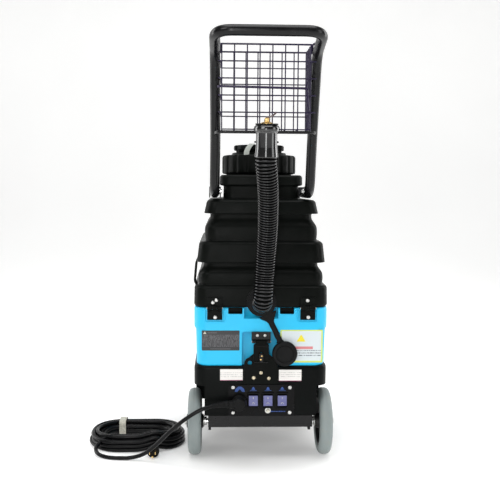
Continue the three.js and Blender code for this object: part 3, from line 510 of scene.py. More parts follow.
def softened(levels, fillet, steps=3):
    """Levels (z, half, y0, y1, corner radius) with each change of slope eased over the fillet."""
    made = [levels[0]]
    for before, here, after in zip(levels, levels[1:], levels[2:]):
        def toward(other):
            length = math.hypot(other[0] - here[0], other[1] - here[1])
            share = min(fillet / length, 0.45)
            return [h + (o - h) * share for h, o in zip(here, other)]
        start, end = toward(before), toward(after)
        for k in range(steps + 1):
            t = k / steps
            made.append([s * (1 - t) ** 2 + h * 2 * t * (1 - t) + e * t * t
                         for s, h, e in zip(start, here, end)])
    made.append(levels[-1])
    return made


def lofted(name, levels, material, fillet=2.2):
    """A closed shell of rounded rectangles stacked from the bottom level to the top one."""
    rings = [rounded_level(*level) for level in softened(levels, fillet)]
    verts = [v for ring in rings for v in ring]
    return from_data(name, verts, tube_faces(len(rings), len(rings[0])), material)


def outlined(name, outline, y0, y1, material, edge=0.5):
    """A flat plate across Y from an outline of (x, z) points."""
    verts = [(x, y, z) for y in (y0, y1) for x, z in outline]
    obj = from_data(name, verts, prism_faces(len(outline)), material, smooth=False)
    return bevelled(obj, edge, angle=50) if edge else obj


def across_x(name, outline, x0, x1, material):
    """A flat-sided piece across X from an outline of (y, z) points."""
    verts = [(x, y, z) for x in (x0, x1) for y, z in outline]
    return from_data(name, verts, prism_faces(len(outline)), material, smooth=False)


def rounded_rectangle(x0, x1, z0, z1, r, steps=6):
    """Outline points of a rounded rectangle."""
    made = []
    for quarter, (x, z) in enumerate(((x1 - r, z0 + r), (x1 - r, z1 - r), (x0 + r, z1 - r),
                                      (x0 + r, z0 + r))):
        for i in range(steps + 1):
            a = (quarter - 1 + i / steps) * math.pi / 2
            made.append((x + r * math.cos(a), z + r * math.sin(a)))
    return made


def screw(position, axis, radius, material, turn):
    """A pan-head screw with a cross recess, its underside at the position."""
    height = radius * 0.55
    head = rounded_turned("screw", [(radius, 0), (radius, height * 0.45), (radius * 0.55, height),
                                    (TIP, height)],
                          (0, 0, 0), (0, 0, 1), material, edge=radius * 0.3, segments=24)
    arms = []
    for quarter in (0, 1):
        arm = block("arm", -radius * 0.62, radius * 0.62, -radius * 0.13, radius * 0.13,
                    height * 0.45, height * 1.6, material, edge=0)
        arm.data.transform(Matrix.Rotation(turn + quarter * math.pi / 2, 4, "Z"))
        arms.append(arm)
    carved(head, *arms)
    head.data.transform(Matrix.Translation(Vector(position) * S) @ axis_frame(axis).to_4x4())
    return head


def bolt(position, axis, radius, material):
    """A hexagon head on a washer."""
    washer = rounded_turned("washer", [(radius * 0.5, 0), (radius * 1.45, 0), (radius * 1.45, 1.4),
                                       (radius * 0.5, 1.4)],
                            (0, 0, 0), (0, 0, 1), material, edge=0.3, segments=32, closed=True)
    head = turned("head", [(radius, 1.4), (radius, radius), (radius * 0.86, radius * 1.15)],
                  (0, 0, 0), (0, 0, 1), material, segments=6)
    for face in head.data.polygons:
        face.use_smooth = False
    made = joined("bolt", washer, head)
    made.data.transform(Matrix.Translation(Vector(position) * S) @ axis_frame(axis).to_4x4())
    return made


BACK = (0, -1, 0)  # out of the operator's side


# ------------------------------------------------------------------ power cord
CORD_R = 4.5
COIL = middle("power_cord_coil")
COIL_RUN = 35.0
LEAD = (
    (-72.4, -113.2, 138), (-84, -113.2, 138), (-108, -117, 135), (-136, -122, 127), (-169, -121, 106),
    (-202, -110, 76), (-233, -95, 42), (-261, -83, 17), (-290, -78, 6.5), (-318, -76, 4.9), (-346, -70, 4.9),
    (-368, -55, 7), (-377, -36, 12), (-375, -21, 17),
)
LAYER_HEIGHTS = (33.2, 23.8, 14.4, 5.0)
COLUMN_RADII = (44.9, 55.0, 65.1, 75.2)
SLOTS = [(0, 1), (0, 2), *((1, k) for k in (3, 2, 1, 0)), *((2, k) for k in (0, 1, 2, 3)),
         *((3, k) for k in (3, 2, 1, 0))]
TURN_STEPS = 44
LAST_TURN = 0.03  # the share of the last turn that is laid before the plug's lead leaves it
HUMP_HIGH, HUMP_LONG = 9.0, 24  # where the turns ride over the plug's lead
PLUG_LOW, PLUG_HIGH = node_box("power_plug")
PLUG = Vector(((PLUG_LOW.x + PLUG_HIGH.x) / 2, PLUG_HIGH.y, 14.3))


def stadium_point(share, r):
    """A point on a turn of the coil, from the left end of its front run, anticlockwise from above."""
    run, bend = 2 * COIL_RUN, math.pi * r
    along = share * 2 * (run + bend)
    if along < run:
        return COIL.x - COIL_RUN + along, COIL.y - r
    along -= run
    if along < bend:
        a = along / r - math.pi / 2
        return COIL.x + COIL_RUN + r * math.cos(a), COIL.y + r * math.sin(a)
    along -= bend
    if along < run:
        return COIL.x + COIL_RUN - along, COIL.y + r
    a = (along - run) / r + math.pi / 2
    return COIL.x - COIL_RUN + r * math.cos(a), COIL.y + r * math.sin(a)


def coil_points():
    """The coil's turns, slot by slot from the top layer down, humped where the plug's lead passes under."""
    made = []
    for turn, (layer, column) in enumerate(SLOTS):
        following = SLOTS[min(turn + 1, len(SLOTS) - 1)]
        last = turn == len(SLOTS) - 1
        for step in range(TURN_STEPS):
            share = step / TURN_STEPS
            if last and share > LAST_TURN:
                break
            ease = smoothstep(0.72, 0.98, share)
            radius = COLUMN_RADII[column] * (1 - ease) + COLUMN_RADII[following[1]] * ease
            height = LAYER_HEIGHTS[layer] * (1 - ease) + LAYER_HEIGHTS[following[0]] * ease
            loose = 1.0 + 2.2 * (layer == 0)
            wander = noise.noise(Vector((share * 5.0, turn * 3.7, 1.3)))
            radius += loose * wander
            x, y = stadium_point(share, radius)
            over_lead = y < COIL.y - 30 and (column > 0 or layer < 3)
            hump = HUMP_HIGH * math.exp(-((x - PLUG.x) / HUMP_LONG) ** 2) * over_lead
            made.append((x, y, height + hump + 0.5 * max(wander, 0) * (layer < 3)))
    return made


def add_power_cord():
    """One cord from the inlet, down to the floor, round its coil and out to the plug."""
    hook = [(-365, -7, 26), (-346, -2, 33), (-334, -4, 34)]
    tail = [(-298, 5.1, 5.0), (-282, 4.2, 5.6), (-266, -0.5, 8), (-251.5, -11, 12), (-244.5, -24, 14.1),
            (PLUG.x, PLUG.y + 1, 14.3)]
    coil = coil_points()
    line = smooth_route([*LEAD, *hook], 5) + coil + smooth_route([coil[-1], *tail], 5)[1:]
    cord = curve("power_cord_whole", [line], CORD_R, "cord_black", resolution=5)
    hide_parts("power_cord", "power_cord_coil")
    place(cord, "frame")
    relief_line = resampled(smooth_route(LEAD[:4], 10), 1.0)[:38]

    def taper(along):
        groove = 0.55 * (math.sin(along * 2 * math.pi / 4.6) < -0.2) * (6 < along < 32)
        return 8.2 - 3.2 * along / 38 - groove
    relief = swept("cord_relief", relief_line, taper, "black_rubber", 28)
    place(relief, "frame")
    tie = coil_tie()
    plug = power_plug()


def coil_tie():
    """A pale tie round the back of the coil."""
    y0, y1, top = COIL.y + 38.0, COIL.y + 82.0, 40.5
    outer = rounded_rectangle(y0, y1, 0.15, top, 9)
    inner = rounded_rectangle(y0 + 1.2, y1 - 1.2, 0.35, top - 1.2, 8)
    x0, x1 = COIL.x - COIL_RUN - 14, COIL.x - COIL_RUN + 2
    count = len(outer)
    verts = [(x, y, z) for x in (x0, x1) for loop in (outer, inner) for y, z in loop]
    faces = []
    for i in range(count):
        k = (i + 1) % count
        faces += [(i, k, count + k, count + i), (2 * count + i, 3 * count + i, 3 * count + k, 2 * count + k),
                  (i, 2 * count + i, 2 * count + k, k), (count + i, count + k, 3 * count + k, 3 * count + i)]
    tie = from_data("cord_tie", verts, faces, "tag_pale")
    return place(bevelled(tie, 0.25, 1), "frame")


def power_plug():
    """A moulded three-pin plug lying on the floor, its pins towards the operator."""
    body = rounded_turned("plug_body", [(TIP, 0), (6.4, 0), (8.6, 9), (11.2, 14), (11.6, 24), (14, 27),
                                        (14, 33.2), (TIP, 33.2)], PLUG, BACK, "black_rubber", edge=1.6,
                                        segments=40)
    face_y = PLUG.y - 33
    pins = [block("pin", PLUG.x + s * 6.35 - 0.75, PLUG.x + s * 6.35 + 0.75, face_y - 16.6, face_y,
                  PLUG.z - 1, PLUG.z + 5.3, "brass", edge=0.35) for s in (-1, 1)]
    pins.append(rounded_turned("pin", [(TIP, 0), (2.35, 0), (2.35, 15), (1.2, 17), (TIP, 17)],
                               (PLUG.x, face_y, PLUG.z - 7.2), BACK, "brass", edge=0.5, segments=20))
    plug = joined("plug", body, *pins)
    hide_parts("power_plug")
    return place(plug, "frame")


add_power_cord()


# ------------------------------------------------------------------ recovery tank
def bulge(z0, z1, half, rear, front, swell, neck):
    """Levels of a rounded belly that tucks in under the band above it."""
    made = []
    for i in range(15):
        t = i / 14
        inset = neck * smoothstep(0.5, 0.88, t) - swell * math.sin(math.pi * min(t / 0.62, 1.0))
        made.append((z0 + (z1 - z0) * t, half - inset, REAR + rear + inset * 0.9, FRONT - front - inset * 0.9,
                     26))
    return made


def recovery_tank():
    """The black tank: bands with rounded bellies between them, a deck, and the neck for the lid."""
    levels = [
        (350.6, 146.1, REAR + 3, FRONT - 3, 26), (354.4, 149.8, REAR, FRONT, 29),
        (393.5, 149, REAR + 0.4, FRONT - 0.4, 29), (398, 145.5, REAR + 5, FRONT - 4, 27),
        *bulge(399.4, 448.6, 138.1, 8.6, 9, 1.6, 9.5),
        (449.6, 143.9, REAR + 3.2, FRONT - 5, 27), (491, 138.9, REAR + 5.6, FRONT - 12, 27),
        (495.5, 135, REAR + 10, FRONT - 16, 26),
        *bulge(497, 557, 124.9, 15, 26, 1.5, 10.5),
        (558, 127.9, REAR + 9.2, FRONT - 24, 27), (584.6, 122.1, REAR + 13, FRONT - 32, 27),
        (588.4, 117.5, REAR + 18, FRONT - 36, 26), (590.6, 88, REAR + 38, FRONT - 56, 22),
        (591, 85, REAR + 41, FRONT - 59, 20), (619, 84, REAR + 42, FRONT - 60, 20),
        (621.4, 93.4, REAR + 34, FRONT - 52, 21), (640, 93, REAR + 34.6, FRONT - 52.6, 21),
        (643.9, 89, REAR + 39, FRONT - 57, 19),
    ]
    shell = lofted("recovery_tank_shell", levels, "black_moulded")
    neck = turned("neck", [(78, 0), (78, 36), (74, 36.4), (74, 0)], (0, middle("lid_collar").y, 642),
                  (0, 0, 1), "black_moulded", closed=True)
    tank = joined("recovery_tank_shell", shell, neck)
    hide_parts("recovery_tank")
    place(tank, "recovery")
    y = REAR + 52
    line = [(-141, y, 457, 0), (-145.5, y, 447, 6), (-149.2, y, 404, 6), (-142, y, 393, 0)]
    strands = [[Vector((p.x, p.y + d, p.z)) for p in route(line)] for d in (-9, -4.5, 0, 4.5, 9)]
    grip = curve("side_grip", strands, 2.6, "black_rubber")
    place(grip, "recovery")


recovery_tank()


# ------------------------------------------------------------------ lid
def fluted(name, center_y, levels, count, material):
    """A turned cap with flutes; levels are (z, radius, flute depth), bottom to top."""
    sides = count * 12
    verts = []
    for z, radius, depth in levels:
        for i in range(sides):
            phase = (i % 12) / 12
            dip = smoothstep(0.55, 0.68, phase) * (1 - smoothstep(0.87, 1.0, phase))
            a = 2 * math.pi * i / sides
            r = radius - depth * dip
            verts.append((r * math.cos(a), center_y + r * math.sin(a), z))
    return from_data(name, verts, tube_faces(len(levels), sides), material)


def lid():
    """The fluted collar, the smaller cap in it, and the cap's lanyard."""
    low, high = node_box("lid_collar")
    cap_low, cap_high = node_box("filler_cap")
    y = (low.y + high.y) / 2
    radius = (high.x - low.x) / 2
    deep = 3.0
    base, top = low.z + 0.5, high.z - 6
    collar = fluted("lid_collar_moulded", y, [
        (base, radius - 6, 0), (base + 1.2, radius - 1.4, deep * 0.6), (base + 4, radius, deep),
        (top - 7, radius, deep), (top - 2.5, radius - 1.6, deep * 0.8), (top - 0.6, radius - 5, deep * 0.4),
        (top, radius - 10, 0), (top - 0.2, 66, 0), (top + 5.6, 63.5, 0)], 20, "black_moulded")
    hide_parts("lid_collar")
    place(collar, "lid")
    r = (cap_high.x - cap_low.x) / 2
    z0, z1 = cap_low.z + 0.3, cap_high.z
    cap = fluted("filler_cap_moulded", y, [
        (z0, r - 5, 0), (z0 + 8, r - 5.5, 0), (z0 + 9.5, r - 0.8, 5.4), (z0 + 11, r, 6), (z1 - 2.6, r, 6),
        (z1 - 0.6, r - 2.4, 4), (z1 - 0.3, r - 8, 0), (z1 - 4.5, r - 10.5, 0), (z1 - 4.8, 20, 0)],
        12, "black_moulded")
    bar = block("bar", -r + 9, r - 9, y - 5, y + 5, z1 - 5, z1 - 0.4, "black_moulded", edge=1.6, segments=3)
    cap = joined("filler_cap_moulded", cap, bar)
    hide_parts("filler_cap")
    place(cap, "filler_cap")
    lanyard = curve("cap_lanyard", [smooth_route(
        [(-22 + d, y - r + 6, z1 - 2), (-24 + d, y - r + 1, z1 + 0.4), (-31 + d, y - r - 7, z1 - 7),
         (-36 + d, y - r - 13, z1 - 17), (-37 + d, y - r - 16, z1 - 25.5)], 8)
        for d in (0, 2.4, 4.8, 7.2, 9.6)], 1.3, "strap_grey")
    place(lanyard, "lid")


lid()


# ------------------------------------------------------------------ handle and basket
TUBE_R = 10.8
HANDLE_HALF = 104.5
HANDLE_MID_HALF = 102.4
HANDLE_TOP_HALF = 103.2
LEDGE_TUBE_Z = middle("handle_saddle_left").z - 1.4
BASKET_REAR = node_box("basket_rear")[1].y - 1.5
BASKET_FRONT = middle("basket_front").y
BASKET_SIDE = middle("basket_right").x
BASKET_FLOOR = middle("basket_floor").z
BASKET_RIM = BASKET_HIGH.z - 1.5


def handle():
    """The bent tube and the bolts of its two saddles."""
    rail_y = HANDLE_LOW.y + TUBE_R
    rail_z = HANDLE_HIGH.z - TUBE_R

    def half(side):
        return [(side * HANDLE_HALF, 60, LEDGE_TUBE_Z, 0), (side * HANDLE_HALF, -88, LEDGE_TUBE_Z, 36),
                (side * HANDLE_MID_HALF, -142, 719, 30), (side * HANDLE_TOP_HALF, -204, 885, 30),
                (side * HANDLE_TOP_HALF, rail_y, rail_z, 36)]
    line = route([*half(-1), *half(1)[::-1]], 14)
    tube = curve("handle_tube", [line], TUBE_R, "black_paint", resolution=10)
    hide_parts("handle_frame")
    place(tube, "recovery")
    parts = []
    for name, side in SIDES:
        low, high = node_box("handle_saddle_" + name)
        y = (low.y + high.y) / 2
        x = side * HANDLE_HALF
        parts.append(bolt((x - side * (TUBE_R + 0.2), -58, LEDGE_TUBE_Z + 4), (-side, 0, 0), 4.6, "chrome"))
        parts.append(bolt((x, y - 30, LEDGE_TUBE_Z + TUBE_R - 0.6), (0, 0, 1), 4.4, "zinc"))
        bevelled(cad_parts["handle_saddle_" + name], 1.2)
    place(joined("handle_bolts", *parts), "recovery")


def basket():
    """The wire basket, its rim, the tool rod, the bar under it and its hooks on the handle."""
    columns = [BASKET_SIDE * (2 * i / 7 - 1) for i in range(8)]
    rows = [BASKET_FLOOR + (BASKET_RIM - BASKET_FLOOR) * i / 5 for i in range(6)]
    files = [BASKET_REAR + (BASKET_FRONT - BASKET_REAR) * i / 4 for i in range(5)]
    reach = node_box("basket_rear")[1].x
    rear = [[(x, BASKET_REAR, BASKET_FLOOR - 5), (x, BASKET_REAR, BASKET_RIM)] for x in columns]
    rear += [[(-reach + 4, BASKET_REAR - 2.6, z), (reach, BASKET_REAR - 2.6, z)] for z in rows[1:5]]
    front = [[(x, BASKET_FRONT, BASKET_FLOOR), (x, BASKET_FRONT, BASKET_RIM)] for x in columns]
    ends = []
    for side in (-1, 1):
        x = side * BASKET_SIDE
        ends += [[(x, y, BASKET_FLOOR), (x, y, BASKET_RIM)] for y in files[1:-1]]
    floor = [[(x, BASKET_REAR, BASKET_FLOOR), (x, BASKET_FRONT, BASKET_FLOOR)] for x in columns[1:-1]]
    floor += [[(-BASKET_SIDE, y, BASKET_FLOOR - 2), (BASKET_SIDE, y, BASKET_FLOOR - 2)] for y in files[1:-1]]
    hoops = []
    for z in rows:
        out = 2.6 if z > BASKET_FLOOR + 1 else 0
        corners = [(0, BASKET_FRONT + out, z, 0), (BASKET_SIDE + out, BASKET_FRONT + out, z, 9),
                   (BASKET_SIDE + out, BASKET_REAR, z, 6), (-BASKET_SIDE - out, BASKET_REAR, z, 6),
                   (-BASKET_SIDE - out, BASKET_FRONT + out, z, 9), (0, BASKET_FRONT + out, z, 0)]
        hoops.append(route(corners, 6))
    wires = curve("basket_wires", rear + front + ends + floor + hoops[:-1], 1.3, "basket_paint", resolution=3)
    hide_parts("basket_rear", "basket_front", "basket_floor", "basket_left", "basket_right")
    place(wires, "recovery")
    rim = curve("basket_rim", [hoops[-1]], 1.9, "basket_paint", resolution=4)
    place(rim, "recovery")
    rod_y = BASKET_REAR - 6.5
    rod_z = (rows[2] + rows[3]) / 2 - 1
    rod = curve("tool_rod", [route([(-97, rod_y + 6, rod_z + 1, 0), (-92, rod_y, rod_z + 1, 3),
                                    (82, rod_y, rod_z - 2, 7), (84.5, rod_y, rod_z - 44, 0)])], 2.5,
                                    "basket_paint")
    place(rod, "recovery")
    bar_z = BASKET_LOW.z + 3.2
    bar = curve("basket_bar", [route([(-103, -150, bar_z, 0), (-99, BASKET_REAR, bar_z, 16),
                                      (99, BASKET_REAR, bar_z, 16), (103, -150, bar_z, 0)])], 3.2,
                                      "black_paint")
    place(bar, "recovery")
    hooks = []
    for side in (-1, 1):
        hooks.append(route([(side * (BASKET_SIDE + 3), BASKET_REAR + 12, BASKET_RIM - 16, 0),
                            (side * (BASKET_SIDE + 3), BASKET_REAR - 4, BASKET_RIM, 6),
                            (side * (BASKET_SIDE + 13), BASKET_REAR - 26, BASKET_RIM + 2, 0)]))
    place(curve("basket_hooks", hooks, 2.0, "basket_paint"), "recovery")


handle()
basket()


# ------------------------------------------------------------------ drain hose
CUFF_TILT = math.radians(6)
CUFF_AXIS = Vector((0, -math.sin(CUFF_TILT), math.cos(CUFF_TILT)))
CUFF_FOOT = Vector((0, -240.6, node_box("drain_cuff")[0].z + 2.4))
PORT = middle("drain_port")
PORT_FACE = node_box("drain_port")[0].y
HOSE_Y = -146.0
HOSE_R = 21.0
HOSE_SIDES = 48
RIB_PITCH = 6.0
RIB_STEPS = 8
RIB_RISE, RIB_DEEP = 0.6, 3.0  # how far the ribs stand out past the hose's radius, and how deep they are cut


def along_cuff(h):
    """The point on the cuff's axis at height h above its foot."""
    return CUFF_FOOT + CUFF_AXIS * h


def ribbed(along):
    """Radius of the corrugated hose."""
    valley = 0.5 - 0.5 * math.cos(2 * math.pi * along / RIB_PITCH)
    return HOSE_R + RIB_RISE - RIB_DEEP * valley ** 1.5


def paint_valley_shade(hose):
    """Painted shade: the faces in the valleys between the ribs take a darker finish with no shine."""
    hose.data.materials.append(MATERIALS["hose_valley_shade"])
    for face in hose.data.polygons:
        ring = face.index // HOSE_SIDES % RIB_STEPS
        if RIB_STEPS * 0.25 <= ring < RIB_STEPS * 0.75:
            face.material_index = 1


def drain_hose():
    """The corrugated hose, its elbow and the flange on the tank."""
    line = smooth_route([
        (2, HOSE_Y, 396), (2.4, HOSE_Y, 408), (3.6, HOSE_Y, 430), (6, -155, 480), (7.5, -175, 530),
        (6.5, -205, 590), (3, -229, 636), along_cuff(-14), along_cuff(6)], 40)
    line = resampled(line, RIB_PITCH / RIB_STEPS)
    hose = swept("drain_hose_ribbed", line, ribbed, "hose_black", HOSE_SIDES)
    paint_valley_shade(hose)
    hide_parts("drain_hose")
    place(hose, "recovery")
    bend = resampled(route([(0, PORT_FACE + 1, PORT.z, 0), (0, HOSE_Y, PORT.z, 32), (2, HOSE_Y, 402, 0)], 20),
                     RIB_PITCH / RIB_STEPS)
    elbow = swept("drain_elbow_ribbed", bend, lambda along: ribbed(along) + 0.3, "hose_black", HOSE_SIDES)
    paint_valley_shade(elbow)
    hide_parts("drain_elbow")
    place(elbow, "recovery")
    flange = rounded_turned("drain_port_flange", [
        (12, 0), (33, 0), (33, 4), (30, 4.5), (30, 7), (26.5, 7.4), (26.5, 9.8), (12, 9.8)],
        (0, REAR - 0.5, PORT.z), BACK, "black_rubber", edge=0.9, closed=True, segments=72)
    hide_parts("drain_port")
    place(flange, "recovery")


def drain_cuff():
    """The cuff at the top of the hose, with its bung, brass stem, lever and clip."""
    top = 64.0
    cuff = rounded_turned("drain_cuff_moulded", [
        (19.2, 4), (19.2, top), (21.6, top), (24.6, top - 2.6), (26.2, top - 7), (25.6, top - 12),
        (22.4, top - 12.6), (21.2, top - 15), (21.4, 20), (22.6, 8), (23.4, 1), (21.2, 0)],
        CUFF_FOOT, CUFF_AXIS, "cuff_black", edge=1.0, closed=True, segments=72)
    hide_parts("drain_cuff")
    place(cuff, "recovery")
    bung = rounded_turned("drain_bung_rubber", [
        (4.2, top - 24), (17.6, top - 24), (18.8, top - 12), (18.6, top + 0.3), (22.8, top + 0.3),
        (22.8, top + 2.6), (4.2, top + 2.6)], CUFF_FOOT, CUFF_AXIS, "black_rubber", edge=0.8, closed=True,
        segments=48)
    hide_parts("drain_bung")
    place(bung, "bung")
    stem_top = top + 7.6
    stem = rounded_turned("bung_stem_brass", [
        (TIP, top - 26), (3.8, top - 26), (3.8, top + 2.8), (12.5, top + 2.9), (12.5, top + 3.6),
        (8, top + 5.4), (5.2, top + 6.4), (5.0, stem_top), (TIP, stem_top)], CUFF_FOOT, CUFF_AXIS, "brass",
        edge=0.5, segments=40)
    ears = []
    for d in (-1, 1):
        ear = block("ear", -4.2, 4.2, d * 3.6 - 0.9, d * 3.6 + 0.9, 0, 7.4, "brass", edge=0.5)
        ear.data.transform(Matrix.Translation(along_cuff(top + 6) * S) @ Matrix.Rotation(CUFF_TILT, 4, "X"))
        ears.append(ear)
    stem = joined("bung_stem_brass", stem, *ears)
    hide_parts("bung_stem")
    place(stem, "bung")
    lever = bung_lever(top + 11)
    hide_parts("bung_lever")
    place(lever, "bung_lever")
    clip = curve("hose_clip_wire", [[along_cuff(30) + Vector((
        23.3 * math.cos(a), 23.3 * math.sin(a) * math.cos(CUFF_TILT),
        23.3 * math.sin(a) * math.sin(CUFF_TILT)))
        for a in (math.radians(12 + 156 * i / 30) for i in range(31))]], 1.9, "black_paint")
    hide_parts("hose_clip")
    place(clip, "recovery")


def bung_lever(pivot):
    """A bent strip lever with a cam at its pivot, raised to the right."""
    rise = 0.5
    line = [(-6, -1.2), (-3, 1.6), (0, 2.6), (4, 1.6), (10, 0.8), (18, 1.4), (23, 3.4)]
    spine = smooth_route([(x, 0, z) for x, z in line], 6)
    verts = []
    for p in spine:
        wide = 2.6 + 1.0 * smoothstep(4, 16, p.x)
        for dy, dz in ((-wide, -1.5), (wide, -1.5), (wide, 1.5), (-wide, 1.5)):
            verts.append((p.x, dy, p.z + dz))
    strip = bevelled(from_data("strip", verts, tube_faces(len(spine), 4), "lever_red"), 0.3)
    pin = rounded_turned("pin", [(TIP, -5.2), (1.9, -5.2), (1.9, 5.2), (TIP, 5.2)], (0, 0, 0), (0, 1, 0),
                         "brass", edge=0.4, segments=20)
    made = joined("bung_lever_strip", strip, pin)
    made.data.transform(Matrix.Translation(along_cuff(pivot) * S) @ Matrix.Rotation(CUFF_TILT, 4, "X")
                        @ Matrix.Rotation(-rise, 4, "Y"))
    return made


drain_hose()
drain_cuff()


# ------------------------------------------------------------------ CAD nodes that keep their own shape
def dressed(names, material, width):
    """Gives CAD nodes their finish and rounds their edges."""
    for name in names:
        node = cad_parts[name]
        node.data.materials.clear()
        node.data.materials.append(MATERIALS[material])
        bevelled(node, width)


# ------------------------------------------------------------------ base
AXLE_Y = WHEEL.y
BASE_HALF = BASE_HIGH.x
WELL_HALF = 125.5
WELL_TOP = 173.5
WELL_CORNER = 24
WELL_FRONT = AXLE_Y + WHEEL_R + 12
ROCKERS = {name: middle("rocker_" + name).x for name in ("heater", "pump", "vacuum")}
ROCKER_Z = middle("rocker_pump").z
WINDOW_X, WINDOW_Z = 10.4, 14.4  # half the opening that a rocker tips in
BREAKER = middle("breaker_button")
INLET = middle("power_inlet")
PANEL_Y = PANEL_HIGH.y - 3
CLEAR = 0.4


def base_housing():
    """The black base, with wheel wells and the holes behind the panel."""
    z0, z1 = BASE_LOW.z, BASE_HIGH.z
    shell = lofted("base_shell", [
        (z0, BASE_HALF - 6, REAR + 5, FRONT - 5, 25), (z0 + 3, BASE_HALF - 2.4, REAR + 1.6, FRONT - 1.6, 27),
        (z0 + 8, BASE_HALF - 0.8, REAR, FRONT, 28), (z1 - 7, BASE_HALF, REAR, FRONT, 28),
        (z1 - 1.8, BASE_HALF - 1.2, REAR + 1.2, FRONT - 1.2, 27),
        (z1, BASE_HALF - 3.4, REAR + 3.4, FRONT - 3.4, 25),
    ], "black_base")
    cutters = []
    for _, side in SIDES:
        outline = [(REAR - 20, z0 - 20), (WELL_FRONT, z0 - 20)]
        for i in range(9):
            a = i * math.pi / 16
            outline.append((WELL_FRONT - WELL_CORNER * (1 - math.cos(a)),
                            WELL_TOP - WELL_CORNER * (1 - math.sin(a))))
        outline.append((REAR - 20, WELL_TOP))
        near, far = sorted((side * WELL_HALF, side * (BASE_HALF + 20)))
        cutters.append(across_x("well", outline, near, far, "black_base"))
    for x in ROCKERS.values():
        cutters.append(block("window", x - 12, x + 12, REAR - 5, REAR + 15, ROCKER_Z - 15, ROCKER_Z + 15,
                             "black_base", edge=0))
    deep = 15
    for x, z, r in ((INLET.x, INLET.z, 14.6), (BREAKER.x, BREAKER.z, 5)):
        cutters.append(round_bar("hole", r, 0, deep + 5, (x, REAR + deep, z), BACK, "black_base"))
    coupler = middle("solution_coupler")
    cutters.append(round_bar("hole", 7.6, 0, 60, (coupler.x, FRONT + 20, coupler.z), BACK, "black_base"))
    carved(shell, *cutters)
    bevelled(shell, 1.6, 3, 35)
    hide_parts("base_housing")
    place(shell, "frame")


def pan_lip():
    """The rear edge of the pan, folded down below it."""
    half = node_box("chassis_pan")[1].x
    return outlined("pan_lip", rounded_rectangle(-half, half, 77.5, 85, 0.8, 2), REAR + 5.9, REAR + 7.6,
                    "black_paint", edge=0.3)


base_housing()
dressed(["chassis_pan"], "black_paint", 1.2)
place(pan_lip(), "frame")


# ------------------------------------------------------------------ wheels
def wheels():
    """Grey tyres on ribbed hubs, and the nuts and washers on the axle."""
    tyre_low, tyre_high = node_box("tyre_right")
    half = (tyre_high.x - tyre_low.x) / 2
    tread = []
    for i in range(41):
        a = math.pi * i / 40
        across = -math.cos(a)
        rise = math.sin(a) ** 0.62
        tread.append((58.2 + (WHEEL_R - 58.2) * rise, half * abs(across) ** 0.86 * (1 if across > 0 else -1)))
    middle_row = len(tread) // 2
    tread[middle_row] = (tread[middle_row][0] - 0.1, 0)
    seam = [(r - 0.55, x) if abs(x) < 0.5 else (r, x) for r, x in tread]
    seam = [(max(r, 58), x) for r, x in seam]
    for name, side in SIDES:
        center = (side * WHEEL.x, AXLE_Y, WHEEL_R)
        profile = [(58, -half + 3), *seam[1:-1], (58, half - 3)]
        tyre = turned("tyre_rounded_" + name, profile, center, (side, 0, 0), "tyre_grey", segments=96,
                      closed=True)
        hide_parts("tyre_" + name)
        place(tyre, "wheel_" + name)
        hub_low, hub_high = node_box("wheel_hub_" + name)
        reach = (hub_high.x - hub_low.x) / 2
        rim = rounded_turned("rim", [
            (6.6, -reach), (15.5, -reach), (18.5, -6), (49, -4.5), (52, -half + 2.5), (57.5, -half + 2.5),
            (57.5, half - 2.5), (52, half - 2.5), (49, 3.5), (18.5, 5), (15.5, reach), (6.6, reach),
        ], center, (side, 0, 0), "hub_black", edge=1.2, closed=True, segments=72)
        spokes = []
        for i in range(5):
            spoke = block("spoke", 17, 51, -3.2, 3.2, -10.5, 10.5, "hub_black", edge=1.4)
            spoke.data.transform(Matrix.Translation(Vector(center) * S) @ Matrix.Rotation(
                2 * math.pi * i / 5 + 0.4, 4, "X") @ Matrix.Rotation(math.pi / 2, 4, "Y")
                @ Matrix.Rotation(math.pi / 2, 4, "Z") @ Matrix.Rotation(math.pi / 2, 4, "X"))
            spokes.append(spoke)
        hub = joined("wheel_hub_ribbed_" + name, rim, *spokes)
        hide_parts("wheel_hub_" + name)
        place(hub, "wheel_" + name)
        outer = node_box("axle")[1].x
        inner_x = WHEEL.x - reach
        fixed = [
            rounded_turned("nut", [(TIP, 0), (10.5, 0), (10.5, 2.6), (8.2, 3.4), (8, 7.4), (TIP, 7.8)],
                           (side * (outer - 6.4), AXLE_Y, WHEEL_R), (side, 0, 0), "zinc", edge=0.5,
                           segments=6 * 8),
            rounded_turned("washer", [(6.4, 0), (14, 0), (14, 2), (6.4, 2)],
                           (side * (inner_x - 2.4), AXLE_Y, WHEEL_R), (side, 0, 0), "zinc", edge=0.4,
                           closed=True),
            rounded_turned("collar", [(6.4, 0), (9.8, 0), (9.8, 5), (6.4, 5)],
                           (side * (inner_x - 7.8), AXLE_Y, WHEEL_R), (side, 0, 0), "chrome", edge=0.6,
                           closed=True)]
        place(joined("axle_fittings_" + name, *fixed), "frame")


wheels()
dressed(["axle"], "chrome", 0.6)


# ------------------------------------------------------------------ switch panel
def glyph(outline):
    """One printed sign, just proud of the panel."""
    return outlined("glyph", outline, PANEL_Y - 0.12, PANEL_Y + 0.1, "icon_blue", edge=0)


